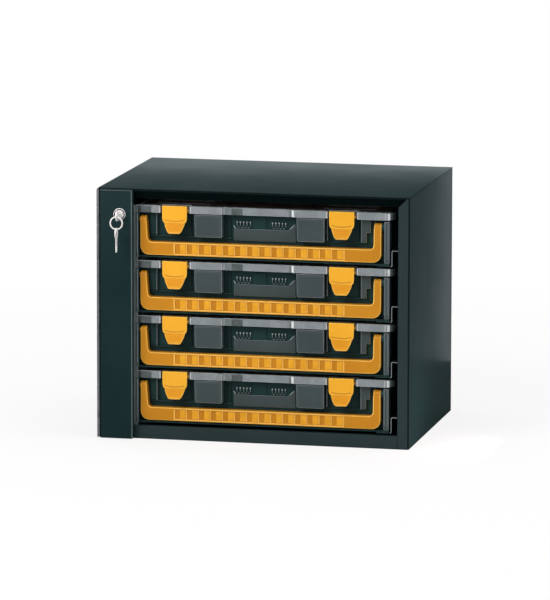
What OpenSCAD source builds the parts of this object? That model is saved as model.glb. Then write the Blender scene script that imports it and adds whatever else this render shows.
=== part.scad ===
// Parts bin cabinet: a sheet-steel rack that holds four organiser cases, with a lockable door bar on its left.
// Millimetres, +Z up, the front faces -Y. The origin is the middle of the base, on the surface it stands on.
// Inside, every module works from the front left bottom corner of the cabinet shell.

/* [Cases] */
// Width of an organiser case
case_w = 434.7; // [425:0.1:520]
// Depth of an organiser case, with its rear hinge
case_d = 350; // [300:1:400]
// Height of an organiser case with its lid shut
case_h = 88.5; // [86:0.5:110]
// Height of the clear lid
lid_h = 13.1; // [12:0.1:16]
// Wall of the moulded case parts
wall = 2.2; // [1.6:0.1:2.6]
// Depth of the recess in the case's front that takes the folded handle
recess_d = 16.5; // [16:0.1:22]
// Raised block beside each latch: width
block_w = 46.5; // [30:0.5:52]
// Raised block: distance of its middle from the middle of the handle
block_offset = 87.4; // [86:0.1:92]
// Raised block: height of its lower edge above the case's bottom
block_z = 37.2; // [34:0.1:50]
// How far the raised blocks stay behind the case's front
block_back = 1.5; // [0.5:0.1:5]
// Half width of the lid's set-back middle
lid_step_half = 60.5; // [40:0.5:61]
// How far the lid's middle is set back
lid_step = 2.5; // [1:0.1:4]

/* [Handle] */
// From the case's left side to the handle
handle_left = 6.9; // [6.3:0.1:9]
// From the handle to the case's right side
handle_right = 19.2; // [17:0.1:24]
// Width of an arm
arm_w = 12.6; // [10:0.1:15]
// Height of the grip bar
bar_h = 24; // [18:0.5:28]
// Thickness of the handle, front to back
handle_t = 15; // [11:0.1:15.5]
// Height of the grip bar above the case's bottom
bar_z = 4; // [3.9:0.1:6]
// Height of the handle's pivot above the case's bottom
handle_pivot_z = 64; // [58:0.5:65]
// Outer corner radius of the handle
handle_corner = 13; // [6:0.5:16]
// Inner corner radius of the handle
handle_inner = 4; // [2:0.5:8]
// Length of the ribbed grip
grip_len = 290; // [100:1:330]
// Number of sunk fields in the grip
grip_count = 14; // [4:1:20]
// Depth of the grip's sunk fields
grip_depth = 1.6; // [0.6:0.1:3]
// Diameter of the handle's pivot pins
handle_pin = 6; // [4:0.5:7]

/* [Latches] */
// Width of a latch
latch_w = 43.5; // [36:0.5:46]
// Distance of a latch's middle from the middle of the handle
latch_offset = 143; // [140:0.5:144]
// Width of the latch where its pull begins
pull_w = 35; // [26:0.5:36]
// Width of the latch's pull at its lower end
pull_tip_w = 21.5; // [14:0.5:24]
// Height of the step between latch plate and pull, above the case's bottom
pull_z = 59.8; // [56:0.1:62]
// Height of the latch's lower end above the case's bottom
latch_z = 40.6; // [36:0.1:44]
// Thickness of the latch plate
latch_t = 3.8; // [2.5:0.1:4.5]
// How far the latch stands proud of the case's front
latch_proud = 1.5; // [0.5:0.1:2.5]
// Height of the latch's pivot below the lid's top
latch_pivot_drop = 8; // [7.6:0.1:8.4]
// Diameter of the latch's pivot pins
latch_pin = 4; // [3:0.5:5]

/* [Cups] */
// Cups side by side
cup_columns = 3; // [2:1:4]
// Cups front to back
cup_rows = 2; // [1:1:3]
// Wall of a cup
cup_wall = 1.6; // [1:0.1:2.4]
// Gap between neighbouring cups, and to the case
cup_gap = 0.8; // [0.4:0.1:2]

/* [Rack] */
// Thickness of the cabinet's sheet steel
sheet = 1.2; // [0.8:0.1:1.4]
// Height of the lowest runner's shelf above the base
first_shelf = 26.8; // [24:0.1:60]
// Free height over a shut case
lift_gap = 5.4; // [5:0.1:20]
// Free height from the top case to the cabinet's top
head_room = 28; // [24:0.5:80]
// How far the cases stand behind the cabinet's front
case_setback = 6; // [5:0.5:20]
// Free depth behind the cases
rear_gap = 19.8; // [14:0.1:60]
// Gap between a case's side and its runner
side_gap = 3.5; // [2.6:0.1:8]
// Width of a runner's shelf
shelf_w = 25; // [15:1:34]
// Height of a runner's web
web_h = 26; // [18:1:34]
// Length of a runner
runner_len = 340; // [200:1:345]
// Free width between the right runners' webs and the side panel
flange_w = 29.6; // [26:0.1:60]
// Gap under a case on its runner
runner_clear = 0.2; // [0.1:0.05:0.5]
// Width of the right front stile
stile_w = 20; // [14:0.5:21]
// Height of the front rail under the lowest case
rail_h = 22; // [16:0.5:22.5]
// Height of the sloping header under the top's front edge
header_h = 17.5; // [12:0.5:20]
// How far the header's lower edge lies behind the front
header_back = 11; // [4:0.5:14]

/* [Door] */
// Width of the door bar
door_w = 56.1; // [52:0.1:70]
// Depth of the door bar
door_t = 14; // [12.5:0.5:18]
// Gap between the door bar's edge and the cases' path
door_gap = 1.2; // [1:0.1:4]
// Gap between the door bar and the cabinet's front
door_clear = 0.5; // [0.3:0.1:1]
// Gap at the door bar's top and bottom
door_end_gap = 1; // [0.5:0.1:4]
// Outer diameter of the hinge's knuckles
knuckle_d = 5; // [4.6:0.1:5.6]
// Diameter of the hinge pin
hinge_pin_d = 3; // [2:0.1:3.2]
// Number of knuckles along the hinge
knuckle_count = 14; // [6:2:20]

/* [Lock] */
// Height of the lock's middle below the cabinet's top
lock_drop = 42; // [36:0.5:200]
// Distance of the lock's middle from the cabinet's left side
lock_x = 40.7; // [38:0.1:41.5]
// Diameter of the lock's front flange
lock_flange_d = 20.4; // [18:0.1:24]
// Diameter of the lock's barrel
barrel_d = 17.6; // [16:0.1:18]
// Diameter of the turning plug
plug_d = 13; // [11:0.1:14]
// Length of the cam from the lock's middle
cam_len = 24; // [18:0.5:30]
// Width of the cam's arm
cam_w = 10; // [8:0.5:12]
// Diameter of a key's bow
bow_d = 19; // [16:0.5:22]
// Thickness of a key
key_t = 2; // [1.4:0.1:2.2]
// Height of a key's blade
blade_w = 7; // [5:0.1:8]
// Mean diameter of the key ring
ring_d = 20.8; // [16:0.1:26]
// Wire diameter of the key ring
ring_wire = 1.8; // [1.2:0.1:2.2]

/* [Mounting] */
// Distance between the base's bolt holes, side to side
bolt_x = 440; // [300:5:440]
// Distance between the base's bolt holes, front to back
bolt_y = 300; // [200:5:300]
// Diameter of the base's bolt holes
bolt_hole = 7; // [5:0.5:9]

/* [Hidden] */
$fn = 64;
case_count = 4;
CASES = [1 : case_count];
SHELL = ["side_left", "side_right", "top_panel", "base_panel", "back_panel", "header_rail", "front_rail",
    "stile_left", "stile_right", "inner_wall", "rivets", "hinge_leaf_fixed", "hinge_pin"];
DOOR = ["door_bar", "hinge_leaf_door", "lock_barrel", "lock_nut", "lock_plug", "lock_cam", "cam_screw",
    "key", "key_ring", "spare_key"];
PER_CASE = ["runner_left", "runner_right", "case_base", "case_lid", "lid_hinge_rod", "cups", "handle",
    "latch_left", "latch_right"];

run_fit = 0.05;         // radial clearance of a pin that turns in its bore
cut = 1;                // how far a cutting shape runs past the face it cuts

// Across: the cabinet is built out from the door and the cases
leaf_t = 1;                                     // thickness of a hinge leaf
leaf_gap = 0.3;                                 // gap between a hinge's knuckles and the parts beside them
hinge_x = knuckle_d / 2 + 0.2;                  // hinge axis
hinge_y = -(door_clear + door_t) + knuckle_d / 2;
door_x = hinge_x + knuckle_d / 2 + leaf_gap;    // left face of the door bar
case_x = door_x + door_w + door_gap;            // left side of the cases
left_web_x = case_x - side_gap - sheet;
inner_wall_x = left_web_x - sheet;
right_web_x = case_x + case_w + side_gap;
side_right_x = right_web_x + sheet + flange_w;
cab_w = side_right_x + sheet;
stile_x = cab_w - stile_w;                      // inner edge of the right stile

// Front to back and up
cab_d = case_setback + case_d + rear_gap + sheet;
pitch = case_h + lift_gap;
cab_h = first_shelf + (case_count - 1) * pitch + case_h + head_room;
inner_h = cab_h - 2 * sheet;
rear_flange = 12;                               // flange of a side panel that carries the back
runner_y = case_setback + 1;
stile_return = 4.8;                             // depth of the right stile's inner fold
rail_return = 10;                               // depth of the front rail's upper fold
lip_h = 9;                                      // upturned edge of a right runner on the side panel

// Inside a case, from its left front bottom corner
base_h = case_h - lid_h;
hinge_knuckle_r = 4;
shell_d = case_d - 2 * hinge_knuckle_r;         // depth of the case without its rear knuckles
rod_r = 1.5;
hinge_rod_y = shell_d + hinge_knuckle_r;
lid_wall = 2.4;
notch_gap = 0.8;                                // gap at each side of a latch
notch_d = recess_d - 2;                         // depth of the lid's notch for a latch
ear_w = 4;                                      // wall of the lid that carries a latch's pin
pin_reach = 2.5;                                // length of a latch's pin in the lid
latch_pivot_y = 5.5;
latch_pivot_z = case_h - latch_pivot_drop;
barrel_r = 4.2;                                 // hub of a latch around its pins
handle_pivot_y = handle_t / 2;
handle_w = case_w - handle_left - handle_right; // width over the handle's arms
handle_x = handle_left;                         // left side of the handle
grip_middle = handle_x + handle_w / 2;          // middle of the handle and latches
column_gap = 1.8;                               // gap between handle and left corner column
column_w = handle_x - column_gap;               // width of the left corner column
right_column_w = 10;
right_gap = case_w - right_column_w - handle_x - handle_w;  // from the handle to the right column
pin_cover = 1.1;                                // wall of the left column past the handle's pin
trunnion_reach = column_w - pin_cover;          // length of a handle's pin in its column
boss_r = 7;                                     // boss round the handle's right pin
boss_gap = 0.4;
front_lip_h = 2.5;                              // ledge under the folded handle
front_lip_y = 3;
pad_half = 56;                                  // half width of the raised panel between the blocks
pad_top = 58;
pad_t = 2;
teeth_count = 5;
teeth_pitch = 5.4;
teeth_middle = 30;                              // middle of a group of teeth from the case's middle
tooth_w = 1.6;
tooth_h = 6;
tooth_d = 3;
side_pad_w = 12.5;                              // raised field beside a handle's arm
side_pad_gap = 3;                               // from the arm to that field
side_pad_d = 6;
thin_rib_x = 118.2;                             // thin rib between the right block and latch
thin_rib_w = 1.4;
thin_rib_d = 8;
lid_gap = 0.6;                                  // ribs and blocks end this far under the lid
catch_z = 50;                                   // underside of the ledge that a latch hooks under
catch_h = 3;
catch_w = 20;
catch_y = 6;                                    // front edge of that ledge
rear_link = 0.01;                               // overlap of a case's knuckles with its back
knuckle_side = 0.2;                             // half of the gap between neighbouring knuckles
cup_area_w = case_w - 2 * wall;
cup_area_d = shell_d - recess_d - 2 * wall;
cup_w = (cup_area_w - (cup_columns + 1) * cup_gap) / cup_columns;
cup_d = (cup_area_d - (cup_rows + 1) * cup_gap) / cup_rows;
cup_h = base_h - wall - cup_gap;
cup_lift = 0.2;                                 // the cups stand this far over the case's floor

// Lock and keys, from the front left bottom corner of the shell
lock_z = cab_h - lock_drop;
door_front = -(door_clear + door_t);            // Y of the door bar's face
flange_t = 2.5;
barrel_len = 11;                                // from the door bar's face to the barrel's rear face
barrel_end = door_front + barrel_len;
plug_proud = 0.6;                               // the plug's face stands this far out of the flange
plug_front = door_front - flange_t - plug_proud;
tail_w = 7;                                     // square tail of the plug
cam_gap = 1.4;                                  // from the stile's rear face to the cam
cam_y = sheet + cam_gap;
cam_t = 2.4;
cam_hub_r = 7;
tail_end = cam_y + cam_t;
screw_r = 2;
screw_head_r = 4.5;
screw_head_h = 2.2;
screw_len = 6;
hole_rest = 0.5;                                // a blind hole runs this far past what sits in it
nut_flats = 24;                                 // width of the nut across flats
nut_h = 4.5;
slot_side = 0.8;                                // free space round the cam in the stile's slot
slot_swing = 2;                                 // sideways travel of the cam as the door swings
key_slot_fit = 0.1;
blade_in = 13;                                  // length of the blade inside the plug
key_neck = 5;                                   // blade left outside the plug, up to the bow
bow_y = plug_front - key_neck - bow_d / 2;      // middle of the inserted key's bow
bow_hole_r = 2.6;
bow_hole_out = 5.5;                             // distance of the hole from the bow's middle
ring_rest = 0.3;                                // the ring lies this far from the edge of a hole
hole_to_wire = bow_hole_r - ring_wire / 2 - ring_rest;
ring_y = bow_y - bow_hole_out;
ring_z = lock_z - hole_to_wire - ring_d / 2;    // middle of the ring
spare_z = ring_z - ring_d / 2 - hole_to_wire;   // hole of the spare key
spare_len = 23;                                 // blade of the spare key under its bow
bit_r = 1.1;                                    // cuts in a key's blade, with every second one deeper
bit_step = 0.2;
bit_pitch = 3.4;
bit_first = 3;                                  // distance of the first cut from the blade's tip

// ---------------------------------------------------------------- helpers

// Shapes drawn in (Y, Z), standing along X
module along_x(length) rotate([90, 0, 90]) linear_extrude(length) children();
// Shapes drawn in (X, Z), standing along Y
module along_y(length) translate([0, length, 0]) rotate([90, 0, 0]) linear_extrude(length) children();
module rod_x(r, length) rotate([0, 90, 0]) cylinder(r = r, h = length);
module rod_y(r, length) rotate([-90, 0, 0]) cylinder(r = r, h = length);

// From the part's origin to the front left bottom corner of the shell
module shell() translate([-cab_w / 2, -cab_d / 2, 0]) children();
function shelf_z(k) = first_shelf + (case_count - k) * pitch;
// From the part's origin to the front left bottom corner of case k
module in_case(k) shell() translate([case_x, case_setback, shelf_z(k)]) children();

// ---------------------------------------------------------------- cabinet shell

module side_profile(front) {
    translate([0, front]) square([sheet, cab_d - sheet - front]);
    translate([0, cab_d - 2 * sheet]) square([sheet + rear_flange, sheet]);
}

// The left side runs forward past the front, where it carries the hinge
side_reach = -door_front - knuckle_d - leaf_gap;
module side_left() color("darkslategray") shell() difference() {
    translate([0, 0, sheet]) linear_extrude(inner_h) side_profile(-side_reach);
    for (z = back_rivet_z)
        translate([back_rivet_x, cab_d - 2 * sheet - cut, z]) rod_y(rivet_r + run_fit, sheet + 2 * cut);
}

module side_right() color("darkslategray") shell() difference() {
    translate([cab_w, 0, sheet]) mirror([1, 0, 0]) linear_extrude(inner_h) side_profile(0);
    for (z = back_rivet_z)
        translate([cab_w - back_rivet_x, cab_d - 2 * sheet - cut, z]) rod_y(rivet_r + run_fit, sheet + 2 * cut);
}

module top_panel() color("slategray") shell()
    translate([0, 0, cab_h - sheet]) cube([cab_w, cab_d, sheet]);

module base_panel() color("slategray") shell() difference() {
    cube([cab_w, cab_d, sheet]);
    for (x = [-1, 1]) for (y = [-1, 1])
        translate([cab_w / 2 + x * bolt_x / 2, cab_d / 2 + y * bolt_y / 2, -cut])
            cylinder(d = bolt_hole, h = sheet + 2 * cut);
}

module back_panel() color("darkslategray") shell() difference() {
    translate([sheet, cab_d - sheet, sheet]) cube([cab_w - 2 * sheet, sheet, inner_h]);
    for (x = [back_rivet_x, cab_w - back_rivet_x]) for (z = back_rivet_z)
        translate([x, cab_d - sheet - cut, z]) rod_y(rivet_r + run_fit, sheet + 2 * cut);
}

// Sloping front strip: a flange under the top, the slope, and a lip along its lower edge
header_x = inner_wall_x + sheet;
header_run = stile_w - 7.5;                     // the slope's right end stays this far from the side
header_slant = 4.3;                             // how far that end leans outwards
header_lip = 6;
header_nose = 2 * sheet;                        // upper fold of the slope, behind the front
module header_section() polygon([
    [sheet, cab_h - sheet], [header_back + header_lip, cab_h - sheet],
    [header_back + header_lip, cab_h - 2 * sheet], [header_nose, cab_h - 2 * sheet],
    [header_back + sheet, cab_h - header_h + sheet], [header_back + header_lip, cab_h - header_h + sheet],
    [header_back + header_lip, cab_h - header_h], [header_back, cab_h - header_h]]);
module header_end() polygon([
    [header_x, 0], [cab_w - header_run, 0], [cab_w - header_run, cab_h - header_h],
    [cab_w - header_run + header_slant, cab_h], [header_x, cab_h]]);
module header_rail() color("darkslategray") shell() intersection() {
    translate([header_x, 0, 0]) along_x(cab_w - header_x) header_section();
    along_y(header_back + header_lip) header_end();
}

// Front rail under the lowest case, folded back along its top
module front_rail() color("darkslategray") shell()
    translate([header_x, 0, sheet]) along_x(stile_x - header_x) {
        square([sheet, rail_h - sheet]);
        translate([0, rail_h - 2 * sheet]) square([rail_return, sheet]);
    }

// Left stile behind the door, with the slot that the lock's cam passes
module stile_left() color("darkslategray") shell() difference() {
    translate([sheet, 0, sheet]) cube([inner_wall_x, sheet, inner_h]);
    translate([lock_x - cam_hub_r - slot_side, -cut, lock_z - cam_hub_r - slot_side])
        cube([2 * (cam_hub_r + slot_side) + slot_swing, sheet + 2 * cut, cam_len + cam_hub_r + 2 * slot_side]);
}

module stile_right() color("darkslategray") shell() {
    along_y(sheet) polygon([
        [stile_x, sheet], [side_right_x, sheet], [side_right_x, cab_h - sheet],
        [cab_w - header_run + header_slant, cab_h - sheet], [cab_w - header_run, cab_h - header_h],
        [stile_x, cab_h - header_h]]);
    translate([stile_x, sheet, sheet]) cube([sheet, stile_return, cab_h - header_h - sheet]);
}

module inner_wall() color("slategray") shell() difference() {
    translate([inner_wall_x, sheet, sheet]) cube([sheet, cab_d - 2 * sheet, inner_h]);
    for (k = CASES) runner_rivet_places(k) rod_x(rivet_r + run_fit, 4 * sheet);
}

// ---------------------------------------------------------------- runners and rivets

rivet_r = 2;
rivet_head_r = 3.6;
rivet_head_h = 1.1;
rivet_tail_r = 3;
back_rivet_x = sheet + rear_flange / 2;
back_rivets = 4;                                // down each side
back_rivet_z = [for (i = [0 : back_rivets - 1]) cab_h * (2 * i + 1) / (2 * back_rivets)];
rivet_edge = 6;                                 // distance of a runner's rivets from its upper edge
runner_rivet_z = web_h - rivet_edge;
runner_rivets = 3;                              // along each left runner
module runner_rivet_places(k)
    for (i = [0 : runner_rivets - 1]) translate([inner_wall_x - sheet,
        runner_y + runner_len * (2 * i + 1) / (2 * runner_rivets), shelf_z(k) + runner_rivet_z]) children();

// Angle on the inner wall that carries the case's left edge
module runner_left(k) color("gray") shell() difference() {
    translate([0, runner_y, shelf_z(k)]) {
        translate([left_web_x, 0, -sheet - runner_clear]) cube([sheet, runner_len, web_h + sheet]);
        translate([left_web_x, 0, -sheet - runner_clear]) cube([sheet + shelf_w, runner_len, sheet]);
    }
    runner_rivet_places(k) rod_x(rivet_r + run_fit, 6 * sheet);
}

// Z-shaped runner with an upturned edge that is spot-welded to the side panel
module runner_right(k) color("gray") shell()
    translate([right_web_x, runner_y, shelf_z(k) - runner_clear]) along_y(runner_len) {
        translate([-shelf_w, -sheet]) square([shelf_w + sheet, sheet]);
        translate([0, -sheet]) square([sheet, web_h + sheet]);
        translate([0, web_h - sheet]) square([sheet + flange_w, sheet]);
        translate([flange_w, web_h - sheet]) square([sheet, lip_h]);
    }

module rivet() {
    cylinder(r = rivet_head_r, h = rivet_head_h);
    translate([0, 0, -2 * sheet]) cylinder(r = rivet_r, h = 2 * sheet + rivet_head_h);
    translate([0, 0, -2 * sheet - rivet_head_h]) cylinder(r = rivet_tail_r, h = rivet_head_h);
}

module rivets() color("silver") shell() {
    for (k = CASES) runner_rivet_places(k) translate([3 * sheet, 0, 0]) rotate([0, 90, 0]) rivet();
    for (x = [back_rivet_x, cab_w - back_rivet_x]) for (z = back_rivet_z)
        translate([x, cab_d, z]) rotate([-90, 0, 0]) rivet();
}

// ---------------------------------------------------------------- door and its hinge

door_h = cab_h - 2 * door_end_gap;
knuckle_gap = 0.3;
knuckle_len = (door_h - 2 * sheet) / knuckle_count;
leaf_back = hinge_y + knuckle_d / 2 + leaf_gap; // a leaf's flat part starts behind the knuckles

module knuckles(first) for (i = [first : 2 : knuckle_count - 1])
    translate([hinge_x, hinge_y, door_end_gap + sheet + i * knuckle_len + knuckle_gap / 2])
        cylinder(d = knuckle_d, h = knuckle_len - knuckle_gap);
module knuckle_links(first, x) for (i = [first : 2 : knuckle_count - 1])
    translate([x, hinge_y, door_end_gap + sheet + i * knuckle_len + knuckle_gap / 2])
        cube([leaf_t, knuckle_d / 2 + 2 * leaf_gap, knuckle_len - knuckle_gap]);
module leaf(first, x) difference() {
    union() {
        translate([x, leaf_back, door_end_gap + sheet])
            cube([leaf_t, -door_clear - leaf_gap - leaf_back, door_h - 2 * sheet]);
        knuckles(first);
        knuckle_links(first, x);
    }
    translate([hinge_x, hinge_y, 0]) cylinder(d = hinge_pin_d + 2 * run_fit, h = cab_h);
}
module hinge_leaf_fixed() color("silver") shell() leaf(0, sheet);
module hinge_leaf_door() color("silver") shell() leaf(1, door_x - leaf_t);
module hinge_pin() color("silver") shell()
    translate([hinge_x, hinge_y, door_end_gap + sheet]) cylinder(d = hinge_pin_d, h = door_h - 2 * sheet);

bend_r = 1.6;                                   // outer radius of the door bar's long bends
module door_section() difference() {
    union() {
        translate([door_x, door_front + bend_r]) square([door_w, door_t - bend_r]);
        translate([door_x + bend_r, door_front]) square([door_w - 2 * bend_r, bend_r]);
        for (x = [bend_r, door_w - bend_r]) translate([door_x + x, door_front + bend_r]) circle(r = bend_r);
    }
    translate([door_x + sheet, door_front + sheet]) square([door_w - 2 * sheet, door_t]);
}
module door_bar() color("darkslategray") shell() difference() {
    union() {
        translate([0, 0, door_end_gap]) linear_extrude(door_h) door_section();
        for (z = [door_end_gap, door_end_gap + door_h - sheet])
            translate([door_x + sheet / 2, door_front + sheet / 2, z])
                cube([door_w - sheet, door_t - sheet / 2, sheet]);
    }
    translate([lock_x, door_front - cut, lock_z]) rod_y(barrel_d / 2 + run_fit, sheet + 2 * cut);
}

// ---------------------------------------------------------------- lock and keys

module lock_barrel() color("silver") shell() difference() {
    translate([lock_x, 0, lock_z]) {
        translate([0, door_front - flange_t, 0]) rod_y(lock_flange_d / 2, flange_t);
        translate([0, door_front, 0]) rod_y(barrel_d / 2, barrel_end - door_front);
    }
    translate([lock_x, door_front - flange_t - cut, lock_z])
        rod_y(plug_d / 2 + run_fit, barrel_end - door_front + flange_t + 2 * cut);
}

module lock_nut() color("silver") shell() difference() {
    translate([lock_x, door_front + sheet, lock_z]) rotate([-90, 30, 0])
        cylinder(d = nut_flats / cos(30), h = nut_h, $fn = 6);
    translate([lock_x, door_front, lock_z]) rod_y(barrel_d / 2 + run_fit, sheet + nut_h + cut);
}

module lock_plug() color("gainsboro") shell() difference() {
    union() {
        translate([lock_x, plug_front, lock_z]) rod_y(plug_d / 2, barrel_end - plug_front);
        translate([lock_x - tail_w / 2, barrel_end - cut, lock_z - tail_w / 2])
            cube([tail_w, tail_end - barrel_end + cut, tail_w]);
    }
    translate([lock_x - key_t / 2 - key_slot_fit, plug_front - cut, lock_z - blade_w / 2 - key_slot_fit])
        cube([key_t + 2 * key_slot_fit, blade_in + cut + key_slot_fit, blade_w + 2 * key_slot_fit]);
    translate([lock_x, tail_end - screw_len, lock_z]) rod_y(screw_r + run_fit, screw_len + cut);
}

module lock_cam() color("silver") shell() difference() {
    translate([lock_x, cam_y, lock_z]) {
        rod_y(cam_hub_r, cam_t);
        translate([-cam_w / 2, 0, 0]) cube([cam_w, cam_t, cam_len - cam_w / 2]);
        translate([0, 0, cam_len - cam_w / 2]) rod_y(cam_w / 2, cam_t);
    }
    translate([lock_x - tail_w / 2 - run_fit, cam_y - cut, lock_z - tail_w / 2 - run_fit])
        cube([tail_w + 2 * run_fit, cam_t + 2 * cut, tail_w + 2 * run_fit]);
}

module cam_screw() color("silver") shell() translate([lock_x, 0, lock_z]) {
    translate([0, tail_end - screw_len + hole_rest, 0]) rod_y(screw_r, screw_len - hole_rest);
    translate([0, tail_end, 0]) rod_y(screw_head_r, screw_head_h);
}

// A flat key drawn in (Y, Z) with its bow's middle at the origin and its blade along +Y
module key_outline(blade_len) difference() {
    union() {
        circle(d = bow_d);
        translate([0, -blade_w / 2]) square([bow_d / 2 + blade_len, blade_w]);
    }
    translate([-bow_hole_out, 0]) circle(r = bow_hole_r);
    for (i = [0 : 2]) translate([bow_d / 2 + blade_len - bit_first - bit_pitch * i, -blade_w / 2])
        circle(r = bit_r + bit_step * (i % 2), $fn = 32);
}
module key() color("gainsboro") shell()
    translate([lock_x - key_t / 2, bow_y, lock_z]) along_x(key_t)
        key_outline(plug_front - bow_y - bow_d / 2 + blade_in);

module key_ring() color("silver") shell()
    translate([lock_x, ring_y, ring_z]) rotate([90, 0, 0])
        rotate_extrude() translate([ring_d / 2, 0]) circle(d = ring_wire);

// The spare key hangs from the ring by the hole in its bow
module spare_key() color("gainsboro") shell()
    translate([lock_x - key_t / 2, ring_y, spare_z - bow_hole_out]) rotate([-90, 0, 0])
        along_x(key_t) key_outline(spare_len);

// ---------------------------------------------------------------- organiser case

module handle_bores() translate([0, handle_pivot_y, handle_pivot_z]) {
    translate([column_w - trunnion_reach - hole_rest, 0, 0])
        rod_x(handle_pin / 2 + run_fit, trunnion_reach + hole_rest + cut);
    translate([handle_x + handle_w, 0, 0])
        rod_x(handle_pin / 2 + run_fit, right_gap + trunnion_reach + hole_rest);
}

// Corner posts, raised blocks, ledges and panels on the recessed front
module front_features() {
    cube([column_w, recess_d + cut, base_h]);
    translate([case_w - right_column_w, 0, 0]) cube([right_column_w, recess_d + cut, base_h]);
    translate([handle_x + handle_w + boss_gap, handle_pivot_y, handle_pivot_z])
        rod_x(boss_r, right_gap);
    translate([0, front_lip_y, 0]) cube([case_w, recess_d - front_lip_y + cut, front_lip_h]);
    for (s = [-1, 1]) translate([grip_middle + s * block_offset - block_w / 2, block_back, block_z])
        cube([block_w, recess_d - block_back + cut, base_h - block_z - lid_gap]);
    for (s = [-1, 1]) translate([latch_u(s) - catch_w / 2, catch_y, catch_z])
        cube([catch_w, recess_d - catch_y + cut, catch_h]);
    translate([grip_middle - pad_half, recess_d - pad_t, block_z])
        cube([2 * pad_half, pad_t + cut, pad_top - block_z]);
    for (s = [-1, 1]) for (i = [0 : teeth_count - 1])
        translate([grip_middle + s * teeth_middle + (i - (teeth_count - 1) / 2) * teeth_pitch - tooth_w / 2,
            recess_d - tooth_d, pad_top]) cube([tooth_w, tooth_d + cut, tooth_h]);
    for (s = [-1, 1])
        translate([grip_middle + s * (handle_w / 2 - arm_w - side_pad_gap - side_pad_w / 2) - side_pad_w / 2,
            recess_d - side_pad_d, block_z]) cube([side_pad_w, side_pad_d + cut, base_h - block_z - lid_gap]);
    translate([grip_middle + thin_rib_x - thin_rib_w / 2, recess_d - thin_rib_d, block_z])
        cube([thin_rib_w, thin_rib_d + cut, base_h - block_z - lid_gap]);
}

rear_count = 8;                                 // knuckles of the rear hinge, case and lid in turn
knuckle_span = case_w / (rear_count + 1);
module rear_knuckles(first, up) for (i = [first : 2 : rear_count - 1])
    translate([knuckle_span * (i + 0.5) + knuckle_side, 0, 0]) {
        translate([0, hinge_rod_y, base_h]) rod_x(hinge_knuckle_r, knuckle_span - 2 * knuckle_side);
        translate([0, shell_d - rear_link, base_h + (up ? 0 : -hinge_knuckle_r)])
            cube([knuckle_span - 2 * knuckle_side, hinge_knuckle_r, hinge_knuckle_r]);
    }

module case_base(k) color("dimgray") in_case(k) difference() {
    union() {
        translate([0, recess_d, 0]) cube([case_w, shell_d - recess_d, base_h]);
        front_features();
        rear_knuckles(0, false);
    }
    translate([wall, recess_d + wall, wall]) cube([case_w - 2 * wall, shell_d - recess_d - 2 * wall, base_h]);
    handle_bores();
    translate([0, hinge_rod_y, base_h]) rod_x(rod_r + run_fit, case_w);
}

function latch_u(s) = grip_middle + s * latch_offset;
notch_half = latch_w / 2 + notch_gap;
// Spaces under the lid's front edge, between the ears that carry the latches
pockets = [[lid_wall, latch_u(-1) - notch_half - ear_w],
    [latch_u(-1) + notch_half + ear_w, latch_u(1) - notch_half - ear_w],
    [latch_u(1) + notch_half + ear_w, case_w - lid_wall]];
module case_lid(k) color("lightgray", 0.6) in_case(k) difference() {
    union() {
        translate([0, 0, base_h]) cube([case_w, shell_d, lid_h]);
        rear_knuckles(1, true);
    }
    translate([lid_wall, recess_d + lid_wall, base_h - cut])
        cube([case_w - 2 * lid_wall, shell_d - recess_d - 2 * lid_wall, lid_h - lid_wall + cut]);
    for (p = pockets) translate([p[0], lid_wall + lid_step, base_h - cut])
        cube([p[1] - p[0], recess_d - lid_wall - lid_step, lid_h - lid_wall + cut]);
    for (s = [-1, 1]) translate([latch_u(s) - notch_half, -cut, base_h - cut])
        cube([2 * notch_half, notch_d + cut, lid_h + 2 * cut]);
    translate([grip_middle - lid_step_half, -cut, base_h - cut])
        cube([2 * lid_step_half, lid_step + cut, lid_h + 2 * cut]);
    for (s = [-1, 1]) translate([latch_u(s) - notch_half - pin_reach - hole_rest, latch_pivot_y, latch_pivot_z])
        rod_x(latch_pin / 2 + run_fit, 2 * (notch_half + pin_reach + hole_rest));
    translate([0, hinge_rod_y, base_h]) rod_x(rod_r + run_fit, case_w);
}

module lid_hinge_rod(k) color("silver") in_case(k)
    translate([knuckle_span / 2, hinge_rod_y, base_h]) rod_x(rod_r, rear_count * knuckle_span);

module cups(k) color("gold") in_case(k)
    for (i = [0 : cup_columns - 1]) for (j = [0 : cup_rows - 1])
        translate([wall + cup_gap + i * (cup_w + cup_gap), recess_d + wall + cup_gap + j * (cup_d + cup_gap),
            wall + cup_lift]) difference() {
                cube([cup_w, cup_d, cup_h]);
                translate([cup_wall, cup_wall, cup_wall])
                    cube([cup_w - 2 * cup_wall, cup_d - 2 * cup_wall, cup_h]);
            }

// ---------------------------------------------------------------- handle and latches

handle_top = handle_pivot_z + handle_t / 2;
module handle_outline() difference() {
    union() {
        translate([0, bar_z + handle_corner]) square([handle_w, handle_top - bar_z - handle_corner]);
        translate([handle_corner, bar_z]) square([handle_w - 2 * handle_corner, handle_corner]);
        for (x = [handle_corner, handle_w - handle_corner])
            translate([x, bar_z + handle_corner]) circle(r = handle_corner);
    }
    translate([arm_w, bar_z + bar_h]) {
        translate([handle_inner, 0]) square([handle_w - 2 * (arm_w + handle_inner), handle_inner]);
        translate([0, handle_inner]) square([handle_w - 2 * arm_w, case_h]);
        for (x = [handle_inner, handle_w - 2 * arm_w - handle_inner])
            translate([x, handle_inner]) circle(r = handle_inner);
    }
}
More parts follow.
